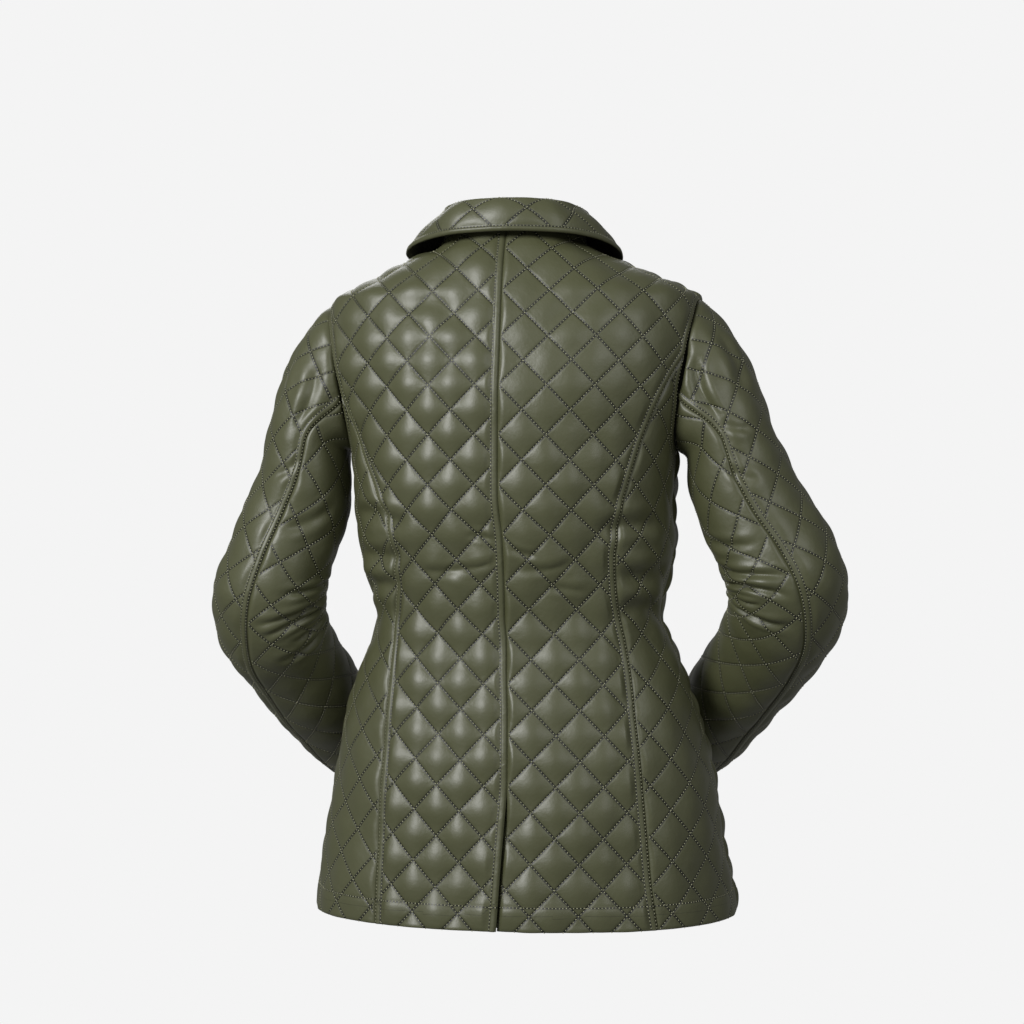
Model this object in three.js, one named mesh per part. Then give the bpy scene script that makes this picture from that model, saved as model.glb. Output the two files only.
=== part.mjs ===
import * as THREE from 'three';

// Millimetres, Z up. The origin lies midway between the shoulders at the base of the neck.
// The front faces -Y and the wearer's left is +X.

const WALL = 2.2;            // cloth thickness at the quilting stitches
const SEAM_GAP = 0.4;        // space between two pieces at a seam
const QUILT_U = 24.5;        // half diagonal of a quilting diamond, across the panel
const QUILT_V = 25.4;        // half diagonal of a quilting diamond, down the panel
const PUFF = 3.2;            // rise of a diamond's middle above its stitches
const PUFF_INNER = 1.8;      // the same where sleeve and side face each other
const SAMPLE = 13;           // spacing of the points along a seam
const EDGE_CLEAR = 8.5;      // least distance of a quilting point from a seam

const SHOULDER_Z = -44;      // height of the shoulder tips
const NECK_Z = 18;           // height where shoulder seam and neck meet
const BACK_NECK_Z = 33;      // top of the centre back seam
const FRONT_NECK_Z = -60;    // top of the centre front
const HEM_Z = -688;
const VENT_Z = -544;         // top of the back vent
const VENT_SHIFT = 9;        // drift of the vent edge to the left at the hem
const ARMHOLE = { centreZ: -122, halfHeight: 78, back: 54, front: 50 };
const TORSO_POWER = 2.25;    // squareness of the body sections

const TORSO = [
  // height, half width, back, front, sway
  [60, 64, 48, -30, 0],
  [40, 70, 58, -40, 0],
  [18, 78, 70, -52, 0],
  [0, 112.3, 80, -66, 0],
  [-20, 150.3, 90, -78, 0],
  [-44, 196, 99, -90, 0],
  [-70, 202, 107, -101, 0],
  [-100, 203, 114, -111, 0],
  [-150, 190, 121, -126, 0.5],
  [-200, 174, 122, -137, 1],
  [-250, 171, 120, -140, 1],
  [-300, 168, 114, -133, -3],
  [-350, 157, 105, -119, -4],
  [-375, 151, 102, -114, -4],
  [-400, 157, 103, -114, -6],
  [-432, 170, 108, -118, -7],
  [-480, 187, 117, -126, -9],
  [-544, 201, 128, -137, -10],
  [-600, 210, 135, -144, -10],
  [-640, 216, 140, -148, -10],
  [-700, 226, 146, -154, -10],
].reverse();

// Distance of the princess seam from the centre back, measured along the cloth.
const PRINCESS_LEFT = [
  // height, distance
  [-700, 142], [-630, 141], [-560, 140], [-504, 138], [-463, 135], [-402, 131],
  [-339, 124], [-305, 125], [-275, 130], [-236, 148], [-200, 172],
];
const PRINCESS_RIGHT = [
  // height, distance
  [-700, 158], [-651, 150], [-575, 142], [-489, 133], [-444, 130], [-412, 126], [-381, 121],
  [-344, 116], [-321, 116], [-275, 125], [-236, 138], [-191, 155], [-152, 171],
];
const PRINCESS_TOP = { left: -143, right: -106 };

const SLEEVE_LEFT = [
  // x, y, z, half width, half depth, seam angle
  [225, 0, -197, 44, 64, 104],
  [229, 3, -236, 50, 62, 98],
  [240, 9, -277, 55, 59, 92],
  [254, 15, -320, 56, 58, 88],
  [265, 16, -356, 60, 59, 86],
  [265, 2, -391, 59, 58, 80],
  [256, -28, -422, 55, 55, 73],
  [243, -60, -454, 53, 52, 69],
  [229, -92, -485, 51, 49, 66],
  [215, -122, -511, 49, 46, 63],
  [203, -150, -533, 47, 44, 60],
];
const SLEEVE_RIGHT = [
  // x, y, z, half width, half depth, seam angle
  [-229, 0, -197, 47, 64, 98],
  [-241, 3, -236, 55, 62, 96],
  [-259, 9, -277, 57, 60, 92],
  [-277, 14, -312, 60, 59, 86],
  [-288, 15, -341, 62, 60, 82],
  [-288, 2, -370, 60, 58, 78],
  [-273, -28, -402, 56, 55, 73],
  [-252, -58, -435, 53, 52, 69],
  [-229, -90, -467, 51, 49, 66],
  [-206, -121, -498, 49, 46, 63],
  [-184, -150, -525, 47, 44, 60],
];
const SEAM_TOP_ANGLE = 112;      // where the sleeve's back seam leaves the armhole
const FRONT_SEAM_ANGLE = 250;    // the sleeve's hidden seam

const COLLAR = [
  // turn from the centre back in degrees, fold x, fold y, fold z, edge x, edge y, edge z
  [0, 0, 71, 57, 0, 84, 22],
  [30, 40, 63, 57, 50, 76, 21],
  [60, 66, 38, 54, 92, 50, 19],
  [90, 78, 0, 50, 118, 0, 8],
  [120, 66, -58, 26, 104, -62, -8],
  [150, 40, -88, -6, 80, -105, -52],
  [180, 10, -104, -34, 46, -125, -100],
];
const COLLAR_END = 178;          // turn at which the collar stops in front
const COLLAR_ARC = 1.35;         // cloth length of one degree of turn
const COLLAR_HEIGHT = 80;        // leaf and stand together
const COLLAR_ROWS = [0, 0.14, 0.3, 0.44, 0.52, 0.6, 0.68, 0.77, 0.88, 1];
const COLLAR_PUFF_ROW = 2;
const FOLD_ROOM = 5;             // half the distance of leaf and stand below the fold

const PLACKET_HALF = 19;
const PLACKET_LIFT = 0.9;        // placket over the fronts
const SNAP_LIFT = 0.8;           // snaps over the placket
const SNAP_HEIGHTS = [-105, -230, -355, -480, -605];
const SNAP_PROFILE = [
  // radius, height
  [0, 0], [7.6, 0], [7.6, 1.2], [6.6, 2.3], [3.6, 3.0], [0, 3.2],
];
const UNDERLAP = { left: 30, right: -22, drop: 1.0 };

const V = (x, y, z) => new THREE.Vector3(x, y, z);
const RAD = Math.PI / 180;

// Smooth curve through the first column and one other column, without overshoot.
function curve(rows, column) {
  const x = rows.map((row) => row[0]);
  const y = rows.map((row) => row[column]);
  const slope = [];
  for (let i = 0; i < x.length - 1; i++) {
    slope.push((y[i + 1] - y[i]) / (x[i + 1] - x[i]));
  }
  const tangent = x.map((value, i) => {
    if (i === 0) return slope[0];
    if (i === x.length - 1) return slope[i - 1];
    if (slope[i - 1] * slope[i] <= 0) return 0;
    const before = x[i] - x[i - 1];
    const after = x[i + 1] - x[i];
    const w1 = 2 * after + before;
    const w2 = after + 2 * before;
    return (w1 + w2) / (w1 / slope[i - 1] + w2 / slope[i]);
  });
  return (at) => {
    let k = 0;
    while (k < x.length - 2 && at > x[k + 1]) k++;
    const h = x[k + 1] - x[k];
    const t = Math.min(Math.max((at - x[k]) / h, 0), 1);
    const s = 1 - t;
    return s * s * (1 + 2 * t) * y[k] + t * t * (3 - 2 * t) * y[k + 1]
      + h * t * s * (s * tangent[k] - t * tangent[k + 1]);
  };
}

const halfWidth = curve(TORSO, 1);
const backDepth = curve(TORSO, 2);
const frontDepth = curve(TORSO, 3);
const sway = curve(TORSO, 4);

const Z_STEP = 2;
const Z_LOW = -700;
const ARC_STEPS = 64;

// A quarter of the body section, from its middle (s = 0) to its side, by arc length.
function quarter(depth, width) {
  const fine = [];
  let run = 0;
  for (let k = 0; k <= 240; k++) {
    const angle = Math.PI / 2 * k / 240;
    const x = width * Math.sin(angle) ** (2 / TORSO_POWER);
    const y = depth * Math.max(Math.cos(angle), 0) ** (2 / TORSO_POWER);
    if (k > 0) run += Math.hypot(x - fine[k - 1].x, y - fine[k - 1].y);
    fine.push({ x, y, run });
  }
  const even = [];
  let k = 0;
  for (let i = 0; i <= ARC_STEPS; i++) {
    const want = run * i / ARC_STEPS;
    while (k < 239 && fine[k + 1].run < want) k++;
    const t = Math.min((want - fine[k].run) / (fine[k + 1].run - fine[k].run), 1);
    even.push([fine[k].x + t * (fine[k + 1].x - fine[k].x), fine[k].y + t * (fine[k + 1].y - fine[k].y)]);
  }
  return { length: run, even };
}

const SECTIONS = { back: [], front: [] };
for (let z = Z_LOW; z <= 60; z += Z_STEP) {
  SECTIONS.back.push(quarter(backDepth(z), halfWidth(z)));
  SECTIONS.front.push(quarter(frontDepth(z), halfWidth(z)));
}

function bracket(z) {
  const at = (z - Z_LOW) / Z_STEP;
  const i = Math.min(Math.max(Math.floor(at), 0), SECTIONS.back.length - 2);
  return [i, at - i];
}

function girth(half, z) {
  const [i, t] = bracket(z);
  return SECTIONS[half][i].length * (1 - t) + SECTIONS[half][i + 1].length * t;
}

// Point of the body surface at the distance s from the centre line, along the section at z.
function torso(half, s, z) {
  const [i, t] = bracket(z);
  const f = Math.min(Math.abs(s) / girth(half, z), 1) * ARC_STEPS;
  const k = Math.min(Math.floor(f), ARC_STEPS - 1);
  const a = f - k;
  const mix = (section, c) => section.even[k][c] * (1 - a) + section.even[k + 1][c] * a;
  const low = SECTIONS[half][i];
  const high = SECTIONS[half][i + 1];
  const x = mix(low, 0) * (1 - t) + mix(high, 0) * t;
  const y = mix(low, 1) * (1 - t) + mix(high, 1) * t;
  return V(x * Math.sign(s) + sway(z), y, z);
}

function torsoNormal(half, s, z) {
  const reach = girth(half, z) - 1.5;
  const mid = Math.sign(s || 1) * Math.min(Math.abs(s), reach);
  const across = torso(half, mid + 1, z).sub(torso(half, mid - 1, z));
  const top = Math.abs(s) > 60 ? 1.5 : 3;
  const up = torso(half, mid, z + top).sub(torso(half, mid, z - top));
  const normal = up.cross(across).normalize();
  return half === 'back' ? normal : normal.negate();
}

const FLAT_Z = -200;   // above this height a panel is measured up its own curve
const columns = new Map();

function column(half, s) {
  const key = half + Math.abs(s).toFixed(3);
  if (columns.has(key)) return columns.get(key);
  const list = [[0, FLAT_Z]];
  let z = FLAT_Z;
  let point = torso(half, Math.abs(s), z);
  let run = 0;
  while (z < 58 && (z < SHOULDER_Z || girth(half, z) > Math.abs(s) - 0.01)) {
    z += 1;
    const next = torso(half, Math.abs(s), z);
    run += next.distanceTo(point);
    point = next;
    list.push([run, z]);
  }
  columns.set(key, list);
  return list;
}

function flatHeight(half, s, z) {
  if (z <= FLAT_Z) return z - FLAT_Z;
  const list = column(half, s);
  const at = z - FLAT_Z;
  const i = Math.min(Math.floor(at), list.length - 2);
  return list[i][0] + (at - i) * (list[i + 1][0] - list[i][0]);
}

function heightOf(half, s, v) {
  if (v <= 0) return v + FLAT_Z;
  const list = column(half, s);
  let i = 0;
  while (i < list.length - 2 && list[i + 1][0] < v) i++;
  return list[i][1] + (v - list[i][0]) / (list[i + 1][0] - list[i][0]);
}

function armhole(angle) {
  const half = angle <= 180 ? 'back' : 'front';
  const z = ARMHOLE.centreZ + ARMHOLE.halfHeight * Math.cos(angle * RAD);
  const y = Math.abs(ARMHOLE[half] * Math.sin(angle * RAD));
  let low = 0;
  let high = girth(half, z);
  for (let n = 0; n < 40; n++) {
    const mid = (low + high) / 2;
    if (Math.abs(torso(half, mid, z).y) > y) low = mid;
    else high = mid;
  }
  return { half, s: low, z };
}

function angleAt(z) {
  return Math.acos((z - ARMHOLE.centreZ) / ARMHOLE.halfHeight) / RAD;
}

// Points between two values, both included, about SAMPLE apart over the given length.
function span(from, to, length, step = SAMPLE) {
  const count = Math.max(1, Math.round(Math.abs(length) / step));
  return Array.from({ length: count + 1 }, (unused, i) => from + (to - from) * i / count);
}

function makeSleeve(side, rows) {
  const centres = new THREE.CatmullRomCurve3(rows.map((row) => V(row[0], row[1], row[2])));
  const last = rows.length - 1;
  const table = rows.map((row, i) => [i, row[3], row[4], row[5]]);
  const wide = curve(table, 1);
  const deep = curve(table, 2);
  const seam = curve(table, 3);
  const frames = [];
  const steps = last * 12;
  let out = V(side, 0, 0);
  for (let n = 0; n <= steps; n++) {
    const along = V(0, 0, 0);
    for (let k = -4; k <= 4; k++) {
      along.add(centres.getTangent(Math.min(Math.max(n / steps + k * 0.03, 0), 1)));
    }
    along.normalize();
    out = out.clone().addScaledVector(along, -out.dot(along)).normalize();
    const back = along.clone().cross(out).multiplyScalar(-side).normalize();
    frames.push({ centre: centres.getPoint(n / steps), along, out, back });
  }
  const ring = (angle, t) => {
    const at = Math.min(Math.max(t / last, 0), 1) * steps;
    const i = Math.min(Math.floor(at), steps - 1);
    const f = at - i;
    const centre = frames[i].centre.clone().lerp(frames[i + 1].centre, f);
    const o = frames[i].out.clone().lerp(frames[i + 1].out, f);
    const b = frames[i].back.clone().lerp(frames[i + 1].back, f);
    return centre.addScaledVector(o, wide(t) * Math.cos(angle * RAD))
      .addScaledVector(b, deep(t) * Math.sin(angle * RAD));
  };
  const edge = (angle) => {
    const at = armhole((angle + 360) % 360);
    return torso(at.half, side * at.s, at.z);
  };
  // The sleeve head: from the armhole (w = 0) to the first ring (w = 1).
  const head = (angle, w) => {
    const start = edge(angle);
    const end = ring(angle, 0);
    const reach = end.distanceTo(start);
    const lean = (1 + Math.cos(angle * RAD)) / 2;
    const away = V(side * (0.12 + 0.75 * lean), 0.30 * Math.sin(angle * RAD), -1 + 0.42 * lean).normalize();
    const p1 = start.clone().addScaledVector(away, reach / 3);
    const p2 = end.clone().addScaledVector(frames[0].along, -reach / 3);
    return new THREE.CubicBezierCurve3(start, p1, p2, end).getPoint(w);
  };
  const arcs = [0];
  for (let n = 1; n <= steps; n++) {
    const t = n * last / steps;
    const before = (n - 1) * last / steps;
    arcs.push(arcs[n - 1] + ring(75, t).distanceTo(ring(75, before)));
  }
  const total = arcs[steps];
  const turnAt = (v) => {
    let i = 0;
    while (i < steps - 1 && arcs[i + 1] < v) i++;
    return (i + (v - arcs[i]) / (arcs[i + 1] - arcs[i])) * last / steps;
  };
  const arcAt = (t) => {
    const at = t / last * steps;
    const i = Math.min(Math.floor(at), steps - 1);
    return arcs[i] + (at - i) * (arcs[i + 1] - arcs[i]);
  };
  const around = (t) => Math.PI * 2 * (0.5 * (wide(t) + deep(t)));
  const headArcs = new Map();
  const headArc = (angle) => {
    const key = angle.toFixed(3);
    if (!headArcs.has(key)) {
      const list = [0];
      let before = head(angle, 1);
      for (let n = 1; n <= 24; n++) {
        const next = head(angle, 1 - n / 24);
        list.push(list[n - 1] + next.distanceTo(before));
        before = next;
      }
      headArcs.set(key, list);
    }
    return headArcs.get(key);
  };
  // Surface by angle and length: v below zero lies on the head, above it on the tube.
  const surface = (angle, v) => {
    if (v >= 0) return ring(angle, turnAt(Math.min(v, total)));
    const list = headArc(angle);
    let i = 0;
    while (i < 23 && list[i + 1] < -v) i++;
    return head(angle, 1 - (i + Math.min((-v - list[i]) / (list[i + 1] - list[i]), 1)) / 24);
  };
  const normal = (angle, v) => {
    const low = Math.max(v - 2, -headArc(angle)[24]);
    const high = Math.min(v + 2, total);
    const along = surface(angle, high).sub(surface(angle, low));
    const turn = surface(angle + 1.5, v).sub(surface(angle - 1.5, v));
    return along.cross(turn).multiplyScalar(side).normalize();
  };
  return { side, surface, normal, total, turnAt, arcAt, around, seam, headArc, edge };
}

// The edge of a seam that two cloths share: their normals are averaged there.
function armholePoint(sleeve, angle) {
  const at = armhole((angle + 360) % 360);
  const body = torsoNormal(at.half, sleeve.side * at.s, at.z);
  const arm = sleeve.normal(angle, -sleeve.headArc(angle)[24] + 1);
  return {
    at,
    point: torso(at.half, sleeve.side * at.s, at.z),
    normal: body.add(arm).normalize(),
  };
}

function wobble(i) {
  return (Math.sin(i * 12.9898) * 43758.5453 % 1) * 0.002;
}

// Triangles over the points: the lighter points (crossings) keep their joining lines.
function triangulate(points) {
  const list = points.map((p, i) => [p.u + wobble(i), p.v + wobble(i + 0.5), p.low ? 1.5 : 0]);
  const n = list.length;
  list.push([-9e3, -9e3, 0], [9e3, -9e3, 0], [0, 9e3, 0]);
  let cells = [[n, n + 1, n + 2]];
  const inside = (cell, p) => {
    const m = cell.map((k) => {
      const dx = list[k][0] - p[0];
      const dy = list[k][1] - p[1];
      return [dx, dy, dx * dx + dy * dy - list[k][2] + p[2]];
    });
    return m[0][0] * (m[1][1] * m[2][2] - m[1][2] * m[2][1])
      - m[0][1] * (m[1][0] * m[2][2] - m[1][2] * m[2][0])
      + m[0][2] * (m[1][0] * m[2][1] - m[1][1] * m[2][0]) > 0;
  };
  for (let i = 0; i < n; i++) {
    const bad = cells.filter((cell) => inside(cell, list[i]));
    const rim = new Map();
    for (const cell of bad) {
      for (let e = 0; e < 3; e++) {
        const a = cell[e];
        const b = cell[(e + 1) % 3];
        if (rim.has(b + '_' + a)) rim.delete(b + '_' + a);
        else rim.set(a + '_' + b, [a, b]);
      }
    }
    const gone = new Set(bad);
    cells = cells.filter((cell) => !gone.has(cell));
    for (const [a, b] of rim.values()) cells.push([a, b, i]);
  }
  return cells.filter((cell) => cell.every((k) => k < n));
}

function within(outline, u, v) {
  let odd = false;
  for (let i = 0, j = outline.length - 1; i < outline.length; j = i++) {
    const a = outline[i];
    const b = outline[j];
    if ((a.v > v) !== (b.v > v) && u < (b.u - a.u) * (v - a.v) / (b.v - a.v) + a.u) odd = !odd;
  }
  return odd;
}

function clearOf(outline, u, v) {
  let least = Infinity;
  for (let i = 0; i < outline.length; i++) {
    const a = outline[i];
    const b = outline[(i + 1) % outline.length];
    const du = b.u - a.u;
    const dv = b.v - a.v;
    const t = Math.min(Math.max(((u - a.u) * du + (v - a.v) * dv) / (du * du + dv * dv), 0), 1);
    least = Math.min(least, Math.hypot(u - a.u - t * du, v - a.v - t * dv));
    const middle = Math.hypot(u - (a.u + b.u) / 2, v - (a.v + b.v) / 2);
    if (middle < 0.52 * Math.hypot(du, dv)) return 0;
  }
  return least;
}

function latticePoints(outline, lattice) {
  const us = outline.map((p) => p.u);
  const vs = outline.map((p) => p.v);
  const found = [];
  const first = Math.ceil((Math.min(...us) - lattice.u) / QUILT_U);
  const final = Math.floor((Math.max(...us) - lattice.u) / QUILT_U);
  const bottom = Math.ceil((Math.min(...vs) - lattice.v) / QUILT_V);
  const top = Math.floor((Math.max(...vs) - lattice.v) / QUILT_V);
  for (let i = first; i <= final; i++) {
    for (let j = bottom; j <= top; j++) {
      const u = lattice.u + i * QUILT_U;
      const v = lattice.v + j * QUILT_V;
      if (within(outline, u, v) && clearOf(outline, u, v) > EDGE_CLEAR) {
        found.push({ u, v, low: (i + j) % 2 === 0 });
      }
    }
  }
  return found;
}

// One quilted cloth panel as a closed body.
// outline: {u, v, point, normal} in order; place(u, v) gives the same for inner points.
function panelGeometry(outline, place, lattice, puff) {
  const inner = latticePoints(outline, lattice).map((p) => ({ ...p, ...place(p.u, p.v) }));
  const count = outline.length;
  const front = outline.concat(inner);
  const back = outline.concat(inner.filter((p) => p.low));
  const keep = (points) => triangulate(points).filter(([a, b, c]) => within(
    outline, (points[a].u + points[b].u + points[c].u) / 3, (points[a].v + points[b].v + points[c].v) / 3));
  const turn = facing(front, keep(front));
  const side = winding(outline) * turn;
  const pull = outline.map((p, i) => {
    const before = p.point.clone().sub(outline[(i + count - 1) % count].point);
    const after = outline[(i + 1) % count].point.clone().sub(p.point);
    const a = p.normal.clone().cross(before).normalize();
    const b = p.normal.clone().cross(after).normalize();
    const mitre = Math.max(1 + a.dot(b), 0.5);
    return a.add(b).multiplyScalar(side * SEAM_GAP / 2 / mitre);
  });
  const position = (p, i, lift) => {
    const spot = p.point.clone().addScaledVector(p.normal, lift);
    return i < count ? spot.add(pull[i]) : spot;
  };
  const outerAt = front.map((p, i) => position(p, i, i >= count && !p.low ? puff(p.u, p.v) : 0));
  const innerAt = back.map((p, i) => position(p, i, -WALL));
  const faces = [];
  const order = (cell) => (turn > 0 ? cell : [cell[0], cell[2], cell[1]]);
  for (const cell of keep(front)) faces.push(order(cell));
  const base = outerAt.length;
  for (const cell of keep(back)) faces.push(order(cell).reverse().map((k) => k + base));
  for (let i = 0; i < count; i++) {
    const j = (i + 1) % count;
    const [p, q] = side > 0 ? [i, j] : [j, i];
    // Both cloths of a seam split its narrow wall along the same diagonal.
    if (outline[p].point.z > outline[q].point.z) {
      faces.push([p, p + base, q + base], [p, q + base, q]);
    } else {
      faces.push([p, p + base, q], [p + base, q + base, q]);
    }
  }
  return solid(outerAt.concat(innerAt), faces);
}

function winding(outline) {
  let area = 0;
  for (let i = 0; i < outline.length; i++) {
    const a = outline[i];
    const b = outline[(i + 1) % outline.length];
    area += a.u * b.v - b.u * a.v;
  }
  return Math.sign(area);
}

function facing(points, cells) {
  let sum = 0;
  for (const [a, b, c] of cells) {
    const e = points[b].point.clone().sub(points[a].point);
    const f = points[c].point.clone().sub(points[a].point);
    sum += Math.sign(e.cross(f).dot(points[a].normal));
  }
  return Math.sign(sum);
}

function solid(points, faces) {
  const geometry = new THREE.BufferGeometry();
  geometry.setAttribute('position', new THREE.Float32BufferAttribute(points.flatMap((p) => [p.x, p.y, p.z]), 3));
  geometry.setIndex(faces.flat());
  return geometry;
}

const group = new THREE.Group();

function addPart(name, geometry, color, roughness = 0.55, metalness = 0) {
  const material = new THREE.MeshStandardMaterial({ color, roughness, metalness });
  material.name = name + '_finish';
  geometry.computeVertexNormals();
  const mesh = new THREE.Mesh(geometry, material);
  mesh.name = name;
  group.add(mesh);
}

const OLIVE = 0x5c5d46;

function torsoSpot(half, s, z) {
  return {
    u: s,
    v: flatHeight(half, s, z),
    point: torso(half, s, z),
    normal: torsoNormal(half, s, z),
  };
}

function placeOnTorso(half) {
  return (u, v) => {
    const z = heightOf(half, u, v);
    return { point: torso(half, u, z), normal: torsoNormal(half, u, z) };
  };
}

function princess(side) {
  const rows = side > 0 ? PRINCESS_LEFT : PRINCESS_RIGHT;
  const top = side > 0 ? PRINCESS_TOP.left : PRINCESS_TOP.right;
  const end = armhole(angleAt(top));
  return curve([...rows, [top, end.s]], 1);
}

function armholeSpots(sleeve, from, to) {
  const length = (to - from) * 1.15;
  return span(from, to, length).map((angle) => {
    const joint = armholePoint(sleeve, angle);
    const s = sleeve.side * joint.at.s;
    return { ...torsoSpot(joint.at.half, s, joint.at.z), normal: joint.normal };
  });
}

// The neck seam by turn from the centre back: 0 is the centre back, 180 the centre front.
function neckSeam(side, turn) {
  if (turn <= 90) {
    const z = NECK_Z + (BACK_NECK_Z - NECK_Z) * Math.cos(turn * RAD) ** 2;
    return { half: 'back', s: side * girth('back', NECK_Z) * Math.sin(turn * RAD), z };
  }
  const angle = (turn - 90) * RAD;
  const z = NECK_Z + (FRONT_NECK_Z - NECK_Z) * Math.sin(angle) ** 1.3;
  const x = halfWidth(NECK_Z) * Math.cos(angle);
  let low = 0;
  let high = girth('front', z);
  for (let n = 0; n < 40; n++) {
    const mid = (low + high) / 2;
    if (torso('front', mid, z).x - sway(z) < x) low = mid;
    else high = mid;
  }
  return { half: 'front', s: side * Math.max(low, 1e-6), z };
}

function neckSpots(side, from, to) {
  return span(from, to, (to - from) * 1.5).map((turn) => {
    const at = neckSeam(side, turn);
    const spot = torsoSpot(at.half, at.s, at.z);
    spot.normal.add(V(side * Math.sin(turn * RAD), Math.cos(turn * RAD), 0.1)).normalize();
    return spot;
  });
}

function ventEdge(z) {
  return z > VENT_Z ? 0 : VENT_SHIFT * (VENT_Z - z) / (VENT_Z - HEM_Z);
}

function heights(from, to) {
  return span(from, to, to - from);
}

function chain(...runs) {
  const line = [];
  for (const run of runs) {
    for (const spot of run) {
      const last = line[line.length - 1];
      if (!last || last.point.distanceTo(spot.point) > 0.5) line.push(spot);
    }
  }
  if (line[0].point.distanceTo(line[line.length - 1].point) < 0.5) line.pop();
  return line;
}

function hemSpots(half, from, to) {
  return span(from, to, to - from).map((s) => torsoSpot(half, s, HEM_Z));
}

function backPanel(side, sleeve) {
  const seam = princess(side);
  const top = side > 0 ? PRINCESS_TOP.left : PRINCESS_TOP.right;
  const spot = (s, z) => torsoSpot('back', s, z);
  return chain(
    hemSpots('back', ventEdge(HEM_Z), side * seam(HEM_Z)),
    heights(HEM_Z, FLAT_Z).concat(heights(FLAT_Z, top)).map((z) => spot(side * seam(z), z)),
    armholeSpots(sleeve, angleAt(top), 0),
    heights(SHOULDER_Z, NECK_Z).map((z) => spot(side * girth('back', z), z)),
    neckSpots(side, 90, 0),
    heights(BACK_NECK_Z, FLAT_Z).map((z) => spot(side * 1e-6, z)),
    heights(FLAT_Z, VENT_Z).map((z) => spot(side * 1e-6, z)),
    heights(VENT_Z, HEM_Z).map((z) => spot(ventEdge(z) + side * 1e-6, z)),
  );
}

function sidePanel(side, sleeve) {
  const seam = princess(side);
  const top = side > 0 ? PRINCESS_TOP.left : PRINCESS_TOP.right;
  const spot = (s, z) => torsoSpot('back', s, z);
  return chain(
    hemSpots('back', side * seam(HEM_Z), side * girth('back', HEM_Z)),
    heights(HEM_Z, FLAT_Z).map((z) => spot(side * girth('back', z), z)),
    armholeSpots(sleeve, 180, angleAt(top)),
    heights(top, FLAT_Z).concat(heights(FLAT_Z, HEM_Z)).map((z) => spot(side * seam(z), z)),
  );
}

function frontPanel(side, sleeve) {
  const spot = (s, z) => torsoSpot('front', s, z);
  return chain(
    hemSpots('front', side * 1e-6, side * girth('front', HEM_Z)),
    heights(HEM_Z, FLAT_Z).map((z) => spot(side * girth('front', z), z)),
    armholeSpots(sleeve, 180.001, 360),
    heights(SHOULDER_Z, NECK_Z).map((z) => spot(side * girth('front', z), z)),
    neckSpots(side, 90.001, 180),
    heights(FRONT_NECK_Z, FLAT_Z).map((z) => spot(side * 1e-6, z)),
    heights(FLAT_Z, HEM_Z).map((z) => spot(side * 1e-6, z)),
  );
}

function sleeveSpot(sleeve, middle, angle, v) {
  const t = sleeve.turnAt(Math.max(v, 0));
  return {
    u: (angle - middle) / 360 * sleeve.around(t),
    v: -v,
    point: sleeve.surface(angle, v),
    normal: sleeve.normal(angle, v),
  };
}

function placeOnSleeve(sleeve, middle) {
  return (u, down) => {
    const v = -down;
    const angle = middle + u * 360 / sleeve.around(sleeve.turnAt(Math.max(v, 0)));
    return { point: sleeve.surface(angle, v), normal: sleeve.normal(angle, v) };
  };
}

function seamAngle(sleeve, v) {
  const top = -sleeve.headArc(SEAM_TOP_ANGLE)[24];
  if (v >= 0) return sleeve.seam(sleeve.turnAt(v));
  return sleeve.seam(0) + (SEAM_TOP_ANGLE - sleeve.seam(0)) * v / top;
}

function headEdge(sleeve, middle, from, to) {
  return span(from, to, (to - from) * 1.15).map((angle) => {
    const joint = armholePoint(sleeve, angle);
    const spot = sleeveSpot(sleeve, middle, angle, -sleeve.headArc(angle)[24]);
    return { ...spot, point: joint.point, normal: joint.normal };
  });
}

function sleeveSeam(sleeve, middle, angleOf, top, down) {
  const rows = span(-top, 0, top).concat(span(0, sleeve.total, sleeve.total));
  const ordered = down ? rows : rows.reverse();
  return ordered.map((v) => sleeveSpot(sleeve, middle, angleOf(v), v));
}

function cuffEdge(sleeve, middle, from, to) {
  return span(from, to, (to - from) * 0.8).map((angle) => sleeveSpot(sleeve, middle, angle, sleeve.total));
}

function sleevePanels(sleeve) {
  const backTop = sleeve.headArc(SEAM_TOP_ANGLE)[24];
  const frontTop = sleeve.headArc(FRONT_SEAM_ANGLE)[24];
  const cuffBack = seamAngle(sleeve, sleeve.total);
  const backSeam = (middle, down) => sleeveSeam(sleeve, middle, (v) => seamAngle(sleeve, v), backTop, down);
  const frontAngle = FRONT_SEAM_ANGLE - 360;
  const upper = chain(
    headEdge(sleeve, 0, frontAngle, 0),
    headEdge(sleeve, 0, 0, SEAM_TOP_ANGLE),
    backSeam(0, true).slice(1),
    cuffEdge(sleeve, 0, cuffBack, frontAngle),
    sleeveSeam(sleeve, 0, () => frontAngle, frontTop, false).slice(0, -1),
  );
  const under = chain(
    headEdge(sleeve, 180, SEAM_TOP_ANGLE, 180),
    headEdge(sleeve, 180, 180, FRONT_SEAM_ANGLE),
    sleeveSeam(sleeve, 180, () => FRONT_SEAM_ANGLE, frontTop, true).slice(1),
    cuffEdge(sleeve, 180, FRONT_SEAM_ANGLE, cuffBack),
    backSeam(180, false).slice(0, -1),
  );
  return { upper, under };
}

const collarColumns = [1, 2, 3, 4, 5, 6].map((c) => curve(COLLAR, c));

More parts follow.
